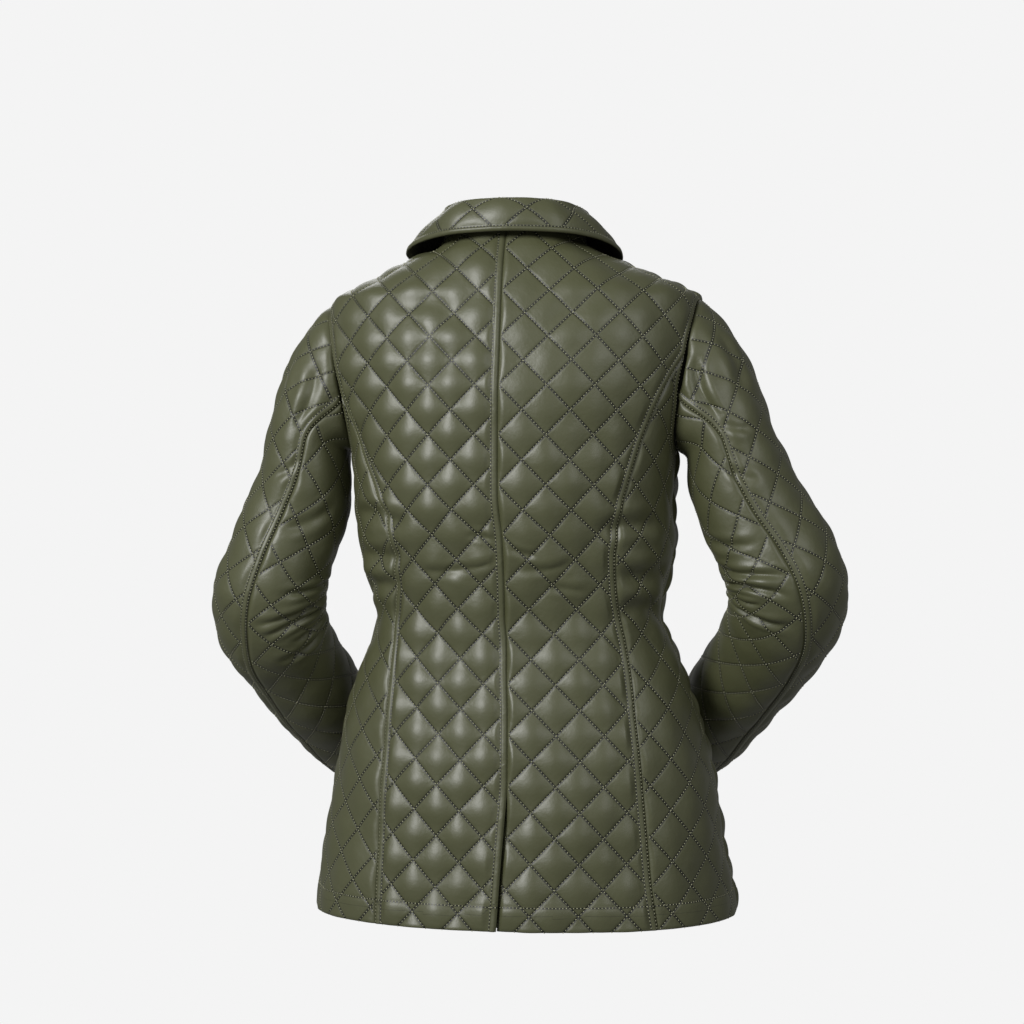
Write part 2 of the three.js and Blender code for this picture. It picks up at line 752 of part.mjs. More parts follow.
// The collar cloth by turn (left positive) and q: 0 at the leaf's edge, 1 at the neck seam.
function collarPoint(turn, q) {
  const side = turn < 0 ? -1 : 1;
  const angle = Math.abs(turn);
  const [fx, fy, fz, ex, ey, ez] = collarColumns.map((column) => column(angle));
  const at = neckSeam(side, angle);
  const seam = neckJoint(side, angle, at);
  const fold = V(side * fx, fy, fz);
  const edge = V(side * ex, ey, ez);
  const out = V(side * Math.sin(angle * RAD), Math.cos(angle * RAD), 0);
  const path = new THREE.CatmullRomCurve3([
    edge,
    edge.clone().lerp(fold, 0.5).addScaledVector(out, 4),
    fold.clone().addScaledVector(out, FOLD_ROOM).add(V(0, 0, -5)),
    fold,
    fold.clone().addScaledVector(out, -FOLD_ROOM).add(V(0, 0, -5)),
    seam.point,
  ], false, 'centripetal');
  return path.getPoint(q);
}

function neckJoint(side, turn, at) {
  const normal = torsoNormal(at.half, at.s, at.z)
    .add(V(side * Math.sin(turn * RAD), Math.cos(turn * RAD), 0.1)).normalize();
  return { point: torso(at.half, at.s, at.z).addScaledVector(normal, -WALL), normal: normal.negate() };
}

function collarSpot(turn, q) {
  const a = Math.min(Math.max(q, 0.01), 0.98);
  const across = collarPoint(turn, a + 0.01).sub(collarPoint(turn, a - 0.01));
  const along = collarPoint(turn + 1, a).sub(collarPoint(turn - 1, a));
  let normal = along.cross(across).normalize();
  let point = collarPoint(turn, q);
  if (q === 1) {
    const joint = neckJoint(turn < 0 ? -1 : 1, Math.abs(turn), neckSeam(turn < 0 ? -1 : 1, Math.abs(turn)));
    point = joint.point;
    normal = joint.normal;
  }
  return { u: turn * COLLAR_ARC, v: q * COLLAR_HEIGHT, point, normal };
}

// The collar as a grid of rows over its cloth, with one row of diamonds on the leaf.
function collarGeometry() {
  const turns = span(-COLLAR_END, COLLAR_END, COLLAR_END * 2 * COLLAR_ARC, QUILT_U / 2);
  const columns = turns.length;
  const outer = [];
  const inner = [];
  for (const [r, q] of COLLAR_ROWS.entries()) {
    for (const [c, turn] of turns.entries()) {
      const spot = collarSpot(turn, q);
      if (q === 1) {
        const above = collarSpot(turn, 0.97).point.sub(spot.point).normalize();
        spot.point.addScaledVector(above, SEAM_GAP / 2);
      }
      const puffed = r === COLLAR_PUFF_ROW && c % 4 === 2;
      outer.push(spot.point.clone().addScaledVector(spot.normal, puffed ? PUFF_INNER : 0));
      inner.push(spot.point.clone().addScaledVector(spot.normal, -WALL));
    }
  }
  const base = outer.length;
  const faces = [];
  const quad = (a, b, c, d) => faces.push([a, b, c], [a, c, d]);
  for (let r = 0; r < COLLAR_ROWS.length - 1; r++) {
    for (let c = 0; c < columns - 1; c++) {
      const k = r * columns + c;
      quad(k, k + 1, k + 1 + columns, k + columns);
      quad(k + base, k + columns + base, k + columns + 1 + base, k + 1 + base);
    }
  }
  const rim = [];
  const last = (COLLAR_ROWS.length - 1) * columns;
  for (let c = 0; c < columns - 1; c++) rim.push(c);
  for (let r = 0; r < COLLAR_ROWS.length - 1; r++) rim.push(r * columns + columns - 1);
  for (let c = columns - 1; c > 0; c--) rim.push(last + c);
  for (let r = COLLAR_ROWS.length - 1; r > 0; r--) rim.push(r * columns);
  for (const [i, k] of rim.entries()) {
    const next = rim[(i + 1) % rim.length];
    quad(k, k + base, next + base, next);
  }
  return solid(outer.concat(inner), faces);
}

function lifted(half, lift) {
  return (s, z) => {
    const spot = torsoSpot(half, s, z);
    spot.point.addScaledVector(spot.normal, lift);
    return spot;
  };
}

function strip(half, lift, left, right, top, bottom) {
  const spot = lifted(half, lift);
  return chain(
    span(right(bottom), left(bottom), left(bottom) - right(bottom)).map((s) => spot(s, bottom)),
    heights(bottom, top).map((z) => spot(left(z), z)),
    span(left(top), right(top), left(top) - right(top)).map((s) => spot(s, top)),
    heights(top, bottom).map((z) => spot(right(z), z)),
  );
}

function snapGeometry(z) {
  const spot = lifted('front', PLACKET_LIFT + WALL + SNAP_LIFT)(0, z);
  const profile = SNAP_PROFILE.map(([radius, height]) => new THREE.Vector2(radius, height));
  const geometry = new THREE.LatheGeometry(profile, 20);
  const turn = new THREE.Quaternion().setFromUnitVectors(V(0, 1, 0), spot.normal);
  geometry.applyQuaternion(turn);
  geometry.translate(spot.point.x, spot.point.y, spot.point.z);
  return geometry;
}

const leftSleeve = makeSleeve(1, SLEEVE_LEFT);
const rightSleeve = makeSleeve(-1, SLEEVE_RIGHT);
const SIDES = [['left', 1, leftSleeve], ['right', -1, rightSleeve]];
const QUILT_START = { left: -418 - FLAT_Z, right: -393 - FLAT_Z };

for (const [label, side, sleeve] of SIDES) {
  const lattice = { u: 0, v: QUILT_START[label] };
  const even = () => PUFF;
  const low = () => PUFF_INNER;
  const aside = (u) => (Math.abs(u) < PLACKET_HALF + 7 ? 0 : PUFF);
  const cloth = (name, outline, place, start, puff) => {
    addPart(`${name}_${label}`, panelGeometry(outline, place, start, puff), OLIVE);
  };
  cloth('back', backPanel(side, sleeve), placeOnTorso('back'), lattice, even);
  const sideLattice = { u: side * 8 * QUILT_U, v: lattice.v };
  cloth('side_back', sidePanel(side, sleeve), placeOnTorso('back'), sideLattice, low);
  cloth('front', frontPanel(side, sleeve), placeOnTorso('front'), lattice, aside);
  const { upper, under } = sleevePanels(sleeve);
  cloth('upper_sleeve', upper, placeOnSleeve(sleeve, 0), { u: 0, v: 0 }, even);
  cloth('under_sleeve', under, placeOnSleeve(sleeve, 180), { u: 0, v: 0 }, low);
}

addPart('collar', collarGeometry(), OLIVE);

const flat = () => 0;
const placketLift = PLACKET_LIFT + WALL;
addPart('front_placket', panelGeometry(
  strip('front', placketLift, () => PLACKET_HALF, () => -PLACKET_HALF, FRONT_NECK_Z - 6, HEM_Z + 1),
  (u, v) => lifted('front', placketLift)(u, heightOf('front', u, v)), { u: 0, v: 0 }, flat), OLIVE);
for (const [i, z] of SNAP_HEIGHTS.entries()) {
  addPart(`snap_${i + 1}`, snapGeometry(z), 0x6d6a5c, 0.35, 0.9);
}

const underlapLift = -(WALL + UNDERLAP.drop);
addPart('vent_underlap', panelGeometry(
  strip('back', underlapLift, () => UNDERLAP.left, () => UNDERLAP.right, VENT_Z + 6, HEM_Z + 3),
  (u, v) => lifted('back', underlapLift)(u, heightOf('back', u, v)), { u: 0, v: 0 }, flat), OLIVE);

export default group;
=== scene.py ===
import logging
import math
from dataclasses import dataclass, field, replace
from enum import Enum
from typing import Callable, Optional

import bpy
import numpy as np
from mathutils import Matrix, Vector


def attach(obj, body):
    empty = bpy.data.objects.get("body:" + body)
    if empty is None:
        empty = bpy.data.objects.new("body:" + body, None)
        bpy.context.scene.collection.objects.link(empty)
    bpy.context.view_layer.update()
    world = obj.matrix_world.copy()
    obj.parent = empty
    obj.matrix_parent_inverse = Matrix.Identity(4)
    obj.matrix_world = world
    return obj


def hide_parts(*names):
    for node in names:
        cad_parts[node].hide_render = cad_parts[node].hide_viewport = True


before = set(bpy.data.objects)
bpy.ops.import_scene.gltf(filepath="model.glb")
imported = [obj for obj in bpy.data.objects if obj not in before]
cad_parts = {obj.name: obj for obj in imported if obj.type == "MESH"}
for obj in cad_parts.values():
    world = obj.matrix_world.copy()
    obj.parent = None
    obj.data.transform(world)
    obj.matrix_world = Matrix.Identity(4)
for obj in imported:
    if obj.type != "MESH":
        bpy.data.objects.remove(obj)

LOG = logging.getLogger("quilted_jacket")
MM = 0.001
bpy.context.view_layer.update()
Array = np.ndarray
Socket = bpy.types.NodeSocket


class Half(Enum):
    """The half of the body that a panel lies on."""

    BACK = "back"
    FRONT = "front"


class Side(Enum):
    """The wearer's side; the value is the sign of X."""

    LEFT = 1
    RIGHT = -1


@dataclass(frozen=True)
class Cloth:
    """Sizes of the quilted cloth, in millimetres."""

    wall: float = 2.2
    puff: float = 4.3
    sleeve_puff: float = 2.0
    dome: float = 1.9
    inner_puff: float = 1.8
    pitch_u: float = 24.5
    pitch_v: float = 25.4
    mesh_step: float = 2.4
    edge_step: float = 1.3
    edge_margin: float = 11.0
    inside_step: int = 4
    groove: float = 1.3
    groove_width: float = 1.5
    free_groove: float = 0.7
    band: float = 0.9
    row_depth: float = 0.6
    row_width: float = 1.1
    quilt_ease: float = 7.0
    quilt_start: float = 0.5
    quilt_clear: float = 1.4
    band_ease: float = 8.0
    band_clear: float = 0.8
    band_rise: float = 1.8
    band_fall: float = 2.2
    band_fall_start: float = 1.2
    row_clear: float = 1.6
    ridge: float = 0.45
    ridge_place: float = 1.9
    far_gap: float = 9.0
    stitch_lift: float = 0.15
    row_lift: float = 0.2


CLOTH = Cloth()


def smooth(x: Array) -> Array:
    """Ease from 0 to 1 as x goes from 0 to 1."""
    t = np.clip(x, 0.0, 1.0)
    return t * t * (3 - 2 * t)


class Table:
    """A smooth curve through rows of values, without overshoot."""

    def __init__(self, x: Array, y: Array, level_start: bool = False) -> None:
        """Prepare the slopes.

        Args:
            x: Rising positions.
            y: Values at them.
            level_start: Whether the curve starts with no slope.
        """
        order = np.argsort(x)
        self.x = np.asarray(x, float)[order]
        self.y = np.asarray(y, float)[order]
        h = np.diff(self.x)
        d = np.diff(self.y) / h
        m = np.zeros(len(self.x))
        for i in range(1, len(self.x) - 1):
            if d[i - 1] * d[i] > 0:
                w1 = 2 * h[i] + h[i - 1]
                w2 = h[i] + 2 * h[i - 1]
                m[i] = (w1 + w2) / (w1 / d[i - 1] + w2 / d[i])
        m[0], m[-1] = 0.0 if level_start else d[0], d[-1]
        self.h, self.m = h, m

    def __call__(self, at: Array) -> Array:
        """Value of the curve.

        Args:
            at: Positions.

        Returns:
            The values there, with the ends held.
        """
        at = np.clip(np.asarray(at, float), self.x[0], self.x[-1])
        k = np.clip(np.searchsorted(self.x, at) - 1, 0, len(self.x) - 2)
        t = (at - self.x[k]) / self.h[k]
        s = 1 - t
        return (s * s * (1 + 2 * t) * self.y[k] + t * t * (3 - 2 * t) * self.y[k + 1]
                + self.h[k] * t * s * (s * self.m[k] - t * self.m[k + 1]))


def xyz(*parts: Array) -> Array:
    """Stack coordinates into points: three in space, or two in the flat cloth."""
    return np.stack(np.broadcast_arrays(*parts), -1).astype(float)


def unit(v: Array) -> Array:
    """Vectors of length one."""
    return v / np.maximum(np.linalg.norm(v, axis=-1, keepdims=True), 1e-9)


def lerp(a: Array, b: Array, t: Array) -> Array:
    """Straight mix of a and b."""
    return a + (b - a) * t


def bell(x: Array) -> Array:
    """A smooth bump, 1 at nought and falling off on both sides."""
    return np.exp(-x ** 2)


def between(grid: Array, i: Array, j: Array, f: Array, g: Array) -> Array:
    """Value of a grid between its points.

    Args:
        grid: Values by row and column.
        i: Row below each place.
        j: Column below each place.
        f: Fraction of the way to the next row.
        g: Fraction of the way to the next column.

    Returns:
        The values there.
    """
    low = grid[i, j] * (1 - g) + grid[i, j + 1] * g
    high = grid[i + 1, j] * (1 - g) + grid[i + 1, j + 1] * g
    return low * (1 - f) + high * f


def run_length(points: Array, axis: int = 0) -> Array:
    """Distance run along lines of points at each of their steps, after the first point."""
    return np.cumsum(np.linalg.norm(np.diff(points, axis=axis), axis=-1), axis=axis)


def halve(low: Array, high: Array, below: Callable[[Array], Array], rounds: int) -> tuple[Array, Array]:
    """Close in on where a test turns false.

    Args:
        low: Places at which it holds.
        high: Places beyond.
        below: The test, true where the answer lies further on.
        rounds: How often the gap is halved.

    Returns:
        The two ends of the gap that is left.
    """
    for _ in range(rounds):
        mid = (low + high) / 2
        further = below(mid)
        low = np.where(further, mid, low)
        high = np.where(further, high, mid)
    return low, high


def add_object(name: str, data: bpy.types.ID) -> bpy.types.Object:
    """Put a new object with this data into the scene.

    Args:
        name: Its name.
        data: What it shows.

    Returns:
        The linked object.
    """
    made = bpy.data.objects.new(name, data)
    bpy.context.scene.collection.objects.link(made)
    return made


@dataclass
class Body:
    """The garment's trunk: level sections from hem to neck, and its flat cloth coordinates."""

    rows: tuple = (
        # height, half width, back, front, sway
        (60, 64, 48, -30, 0), (40, 70, 58, -40, 0), (18, 78, 70, -52, 0),
        (0, 112.3, 80, -66, 0), (-20, 150.3, 90, -78, 0), (-44, 196, 99, -90, 0),
        (-70, 202, 107, -101, 0), (-100, 203, 114, -111, 0), (-150, 190, 121, -126, 0.5),
        (-200, 174, 122, -137, 1), (-250, 171, 120, -140, 1), (-300, 168, 114, -133, -3),
        (-350, 157, 105, -119, -4), (-375, 151, 102, -114, -4), (-400, 157, 103, -114, -6),
        (-432, 170, 108, -118, -7), (-480, 187, 117, -126, -9), (-544, 201, 128, -137, -10),
        (-600, 210, 135, -144, -10), (-640, 216, 140, -148, -10), (-700, 226, 146, -154, -10),
    )
    power: float = 2.25
    shoulder_z: float = -44
    neck_z: float = 18
    back_neck_z: float = 33
    front_neck_z: float = -60
    hem_z: float = -688
    vent_z: float = -544
    vent_shift: float = 9
    flat_z: float = -200
    armhole_z: float = -122
    armhole_half: float = 78
    armhole_depth: dict = field(default_factory=lambda: {Half.BACK: 54.0, Half.FRONT: 50.0})
    z_step: float = 2.0
    steps: int = 192
    angle_steps: int = 240
    lowest_z: float = -700
    highest_z: float = 60
    column_step: float = 2.0
    column_reach: float = 260.0
    column_top: float = 58.0
    neck_dip: float = 1.3
    height_rounds: int = 26
    solve_rounds: int = 36

    def __post_init__(self) -> None:
        """Work out the sections and the lengths up each column."""
        table = np.array(self.rows, float)
        z = table[:, 0]
        self.curves = [Table(z, table[:, c]) for c in range(1, 5)]
        self.zs = np.arange(self.lowest_z, self.highest_z + 1, self.z_step)
        self.grids = {half: self._sections(half) for half in Half}
        self.column_s = np.arange(0, self.column_reach + self.column_step, self.column_step)
        self.column_z = np.arange(self.flat_z, self.column_top + 1, 1.0)
        self.columns = {half: self._columns(half) for half in Half}

    def _sections(self, half: Half) -> dict:
        """Quarter sections of one half by arc length.

        Args:
            half: Back or front.

        Returns:
            Their lengths and coordinates, a row for each height.
        """
        width = self.curves[0](self.zs)
        depth = self.curves[1 if half is Half.BACK else 2](self.zs)
        angle = np.linspace(0, math.pi / 2, self.angle_steps + 1)
        x = np.outer(width, np.sin(angle) ** (2 / self.power))
        y = np.outer(depth, np.clip(np.cos(angle), 0, None) ** (2 / self.power))
        run = np.cumsum(np.hypot(np.diff(x, axis=1), np.diff(y, axis=1)), axis=1)
        run = np.concatenate([np.zeros((len(width), 1)), run], axis=1)
        even = np.linspace(0, 1, self.steps + 1)
        px = np.array([np.interp(even * r[-1], r, a) for r, a in zip(run, x)])
        py = np.array([np.interp(even * r[-1], r, a) for r, a in zip(run, y)])
        return {"length": run[:, -1], "x": px, "y": py}

    def _columns(self, half: Half) -> Array:
        """Arc length up the cloth, by distance from the centre line and height.

        Args:
            half: Back or front.

        Returns:
            Lengths by distance and height.
        """
        s, z = np.meshgrid(self.column_s, self.column_z, indexing="ij")
        rise = run_length(self.point(half, s, z), axis=1)
        return np.concatenate([np.zeros((len(s), 1)), rise], axis=1)

    def _row(self, z: Array) -> tuple[Array, Array]:
        """Section index and fraction at a height.

        Args:
            z: Heights.

        Returns:
            Index of the section below, and the fraction above it.
        """
        at = np.clip((np.asarray(z, float) - self.zs[0]) / self.z_step, 0, len(self.zs) - 1.001)
        i = at.astype(int)
        return i, at - i

    def girth(self, half: Half, z: Array) -> Array:
        """Length of the quarter section from centre line to side.

        Args:
            half: Back or front.
            z: Heights.

        Returns:
            Lengths in millimetres.
        """
        i, t = self._row(z)
        length = self.grids[half]["length"]
        return length[i] * (1 - t) + length[i + 1] * t

    def point(self, half: Half, s: Array, z: Array) -> Array:
        """Point of the trunk.

        Args:
            half: Back or front.
            s: Distance from the centre line along the section, left positive.
            z: Height.

        Returns:
            Points in millimetres.
        """
        s, z = np.broadcast_arrays(np.asarray(s, float), np.asarray(z, float))
        i, t = self._row(z)
        f = np.clip(np.abs(s) / self.girth(half, z), 0, 1) * self.steps
        k = np.minimum(f.astype(int), self.steps - 1)
        x, y = (between(self.grids[half][name], i, k, t, f - k) for name in "xy")
        return xyz(x * np.where(s < 0, -1, 1) + self.curves[3](z), y, z)

    def _column_value(self, half: Half, s: Array, z: Array) -> Array:
        """Arc length up the cloth from the flat height, for heights above it.

        Args:
            half: Back or front.
            s: Distances from the centre line along the section.
            z: Heights.

        Returns:
            Lengths up the cloth.
        """
        a = np.clip(np.abs(s) / self.column_step, 0, len(self.column_s) - 1.001)
        b = np.clip(z - self.flat_z, 0, len(self.column_z) - 1.001)
        i, j = a.astype(int), b.astype(int)
        return between(self.columns[half], i, j, a - i, b - j)

    def flat(self, half: Half, s: Array, z: Array) -> Array:
        """Height in the flat cloth of a point of the trunk."""
        s, z = np.broadcast_arrays(np.asarray(s, float), np.asarray(z, float))
        return np.where(z <= self.flat_z, z - self.flat_z, self._column_value(half, s, z))

    def height(self, half: Half, s: Array, v: Array) -> Array:
        """Height in space of a point of the flat cloth.

        Args:
            half: Back or front.
            s: Distances from the centre line along the section.
            v: Heights in the flat cloth.

        Returns:
            Heights in space.
        """
        s, v = np.broadcast_arrays(np.asarray(s, float), np.asarray(v, float))
        low, high = halve(np.full(s.shape, float(self.flat_z)), np.full(s.shape, self.column_top),
                          lambda z: self._column_value(half, s, z) <= v, self.height_rounds)
        return np.where(v <= 0, v + self.flat_z, (low + high) / 2)

    def solve(self, half: Half, z: Array, test: Callable[[Array], Array]) -> Array:
        """Distance from the centre line at which a test turns false.

        Args:
            half: Back or front.
            z: Heights.
            test: True for points on the inner side.

        Returns:
            Distances from the centre line.
        """
        high = self.girth(half, z) * np.ones(np.shape(z))
        return halve(np.zeros(np.shape(z)), high, lambda s: test(self.point(half, s, z)),
                     self.solve_rounds)[0]

    def armhole(self, angle: Array) -> tuple[Half, Array, Array]:
        """Half, distance and height on the armhole; all angles lie on one half.

        Args:
            angle: Angles round it, 0 at the shoulder and 180 at the armpit.

        Returns:
            The half, and the distance and height of each point.
        """
        angle = np.mod(np.asarray(angle, float), 360.0)
        half = Half.BACK if float(np.mean(angle)) <= 180 else Half.FRONT
        z = self.armhole_z + self.armhole_half * np.cos(np.radians(angle))
        y = np.abs(self.armhole_depth[half] * np.sin(np.radians(angle)))
        return half, self.solve(half, z, lambda p: np.abs(p[..., 1]) > y), z

    def armhole_points(self, side: Side, angle: Array) -> Array:
        """Points of the armhole of one side, for angles anywhere on it.

        Args:
            side: The wearer's side.
            angle: Angles round it, 0 at the shoulder.

        Returns:
            Points in space.
        """
        angle = np.mod(np.asarray(angle, float), 360.0)
        flat_angle = angle.ravel()
        out = np.zeros((flat_angle.size, 3))
        for rear in (True, False):
            pick = flat_angle <= 180 if rear else flat_angle > 180
            if pick.any():
                half, s, z = self.armhole(flat_angle[pick])
                out[pick] = self.point(half, side.value * s, z)
        return out.reshape(angle.shape + (3,))

    def neck(self, side: Side, turn: Array) -> tuple[Half, Array, Array]:
        """Half, distance and height on the neck seam; 0 is the centre back, 180 the front.

        Args:
            side: The wearer's side.
            turn: Turns round the neck, all on one half.

        Returns:
            The half, and the distance and height of each point.
        """
        turn = np.asarray(turn, float)
        if float(np.mean(turn)) <= 90:
            z = self.neck_z + (self.back_neck_z - self.neck_z) * np.cos(np.radians(turn)) ** 2
            s = self.girth(Half.BACK, self.neck_z) * np.sin(np.radians(turn))
            return Half.BACK, side.value * s, z
        angle = np.radians(turn - 90)
        drop = np.clip(np.sin(angle), 0, 1) ** self.neck_dip
        z = self.neck_z + (self.front_neck_z - self.neck_z) * drop
        x = self.curves[0](self.neck_z) * np.cos(angle)
        s = self.solve(Half.FRONT, z, lambda p: p[..., 0] - self.curves[3](p[..., 2]) < x)
        return Half.FRONT, side.value * s, z

    def vent_edge(self, z: Array) -> Array:
        """Drift of the vent's top edge to the left."""
        return self.vent_shift * np.clip((self.vent_z - z) / (self.vent_z - self.hem_z), 0, 1)


@dataclass
class PrincessSeam:
    """The seam from the armhole to the hem, by its distance from the centre back."""

    body: Body
    side: Side
    rows: tuple
    top: float

    def __post_init__(self) -> None:
        """Join the table to the armhole."""
        self.angle = math.degrees(math.acos((self.top - self.body.armhole_z) / self.body.armhole_half))
        _, s, _ = self.body.armhole(np.array([self.angle]))
        rows = np.array(self.rows + ((self.top, float(s[0])),), float)
        self.at = Table(rows[:, 0], rows[:, 1])


LEFT_PRINCESS = (
    (-700, 142), (-630, 141), (-560, 140), (-504, 138), (-463, 135), (-402, 131),
    (-339, 124), (-305, 125), (-275, 130), (-236, 148), (-200, 172),
)
RIGHT_PRINCESS = (
    (-700, 158), (-651, 150), (-575, 142), (-489, 133), (-444, 130), (-412, 126), (-381, 121),
    (-344, 116), (-321, 116), (-275, 125), (-236, 138), (-191, 155), (-152, 171),
)
LEFT_SLEEVE = (
    # x, y, z, half width, half depth, angle of the back seam
    (225, 0, -197, 44, 64, 104), (229, 3, -236, 50, 62, 98), (240, 9, -277, 55, 59, 92),
    (254, 15, -320, 56, 58, 88), (265, 16, -356, 60, 59, 86), (265, 2, -391, 59, 58, 80),
    (256, -28, -422, 55, 55, 73), (243, -60, -454, 53, 52, 69), (229, -92, -485, 51, 49, 66),
    (215, -122, -511, 49, 46, 63), (203, -150, -533, 47, 44, 60),
)
RIGHT_SLEEVE = (
    (-229, 0, -197, 47, 64, 98), (-241, 3, -236, 55, 62, 96), (-259, 9, -277, 57, 60, 92),
    (-277, 14, -312, 60, 59, 86), (-288, 15, -341, 62, 60, 82), (-288, 2, -370, 60, 58, 78),
    (-273, -28, -402, 56, 55, 73), (-252, -58, -435, 53, 52, 69), (-229, -90, -467, 51, 49, 66),
    (-206, -121, -498, 49, 46, 63), (-184, -150, -525, 47, 44, 60),
)


def centripetal(points: Array, t: Array) -> Array:
    """Centripetal Catmull-Rom curve.

    Args:
        points: Control points, shape (n, ..., 3).
        t: Places from 0 to 1, one for each curve or a plain list for a single one.

    Returns:
        Points of the curve.
    """
    n = len(points)
    at = np.clip(np.asarray(t, float), 0, 1) * (n - 1)
    k = np.minimum(at.astype(int), n - 2)
    w = (at - k)[..., None]
    first = 2 * points[0] - points[1]
    last = 2 * points[-1] - points[-2]
    padded = np.concatenate([first[None], points, last[None]], axis=0)
    if points.ndim == 2:
        p = [padded[k + j] for j in range(4)]
    else:
        rest = tuple(np.indices(k.shape))
        p = [padded[(k + j,) + rest] for j in range(4)]
    d = [np.maximum(np.linalg.norm(p[j + 1] - p[j], axis=-1, keepdims=True) ** 0.5, 1e-4)
         for j in range(3)]
    t1 = (p[1] - p[0]) / d[0] - (p[2] - p[0]) / (d[0] + d[1]) + (p[2] - p[1]) / d[1]
    t2 = (p[2] - p[1]) / d[1] - (p[3] - p[1]) / (d[1] + d[2]) + (p[3] - p[2]) / d[2]
    t1, t2 = t1 * d[1], t2 * d[1]
    c2 = -3 * p[1] + 3 * p[2] - 2 * t1 - t2
    c3 = 2 * p[1] - 2 * p[2] + t1 + t2
    return p[1] + t1 * w + c2 * w * w + c3 * w * w * w


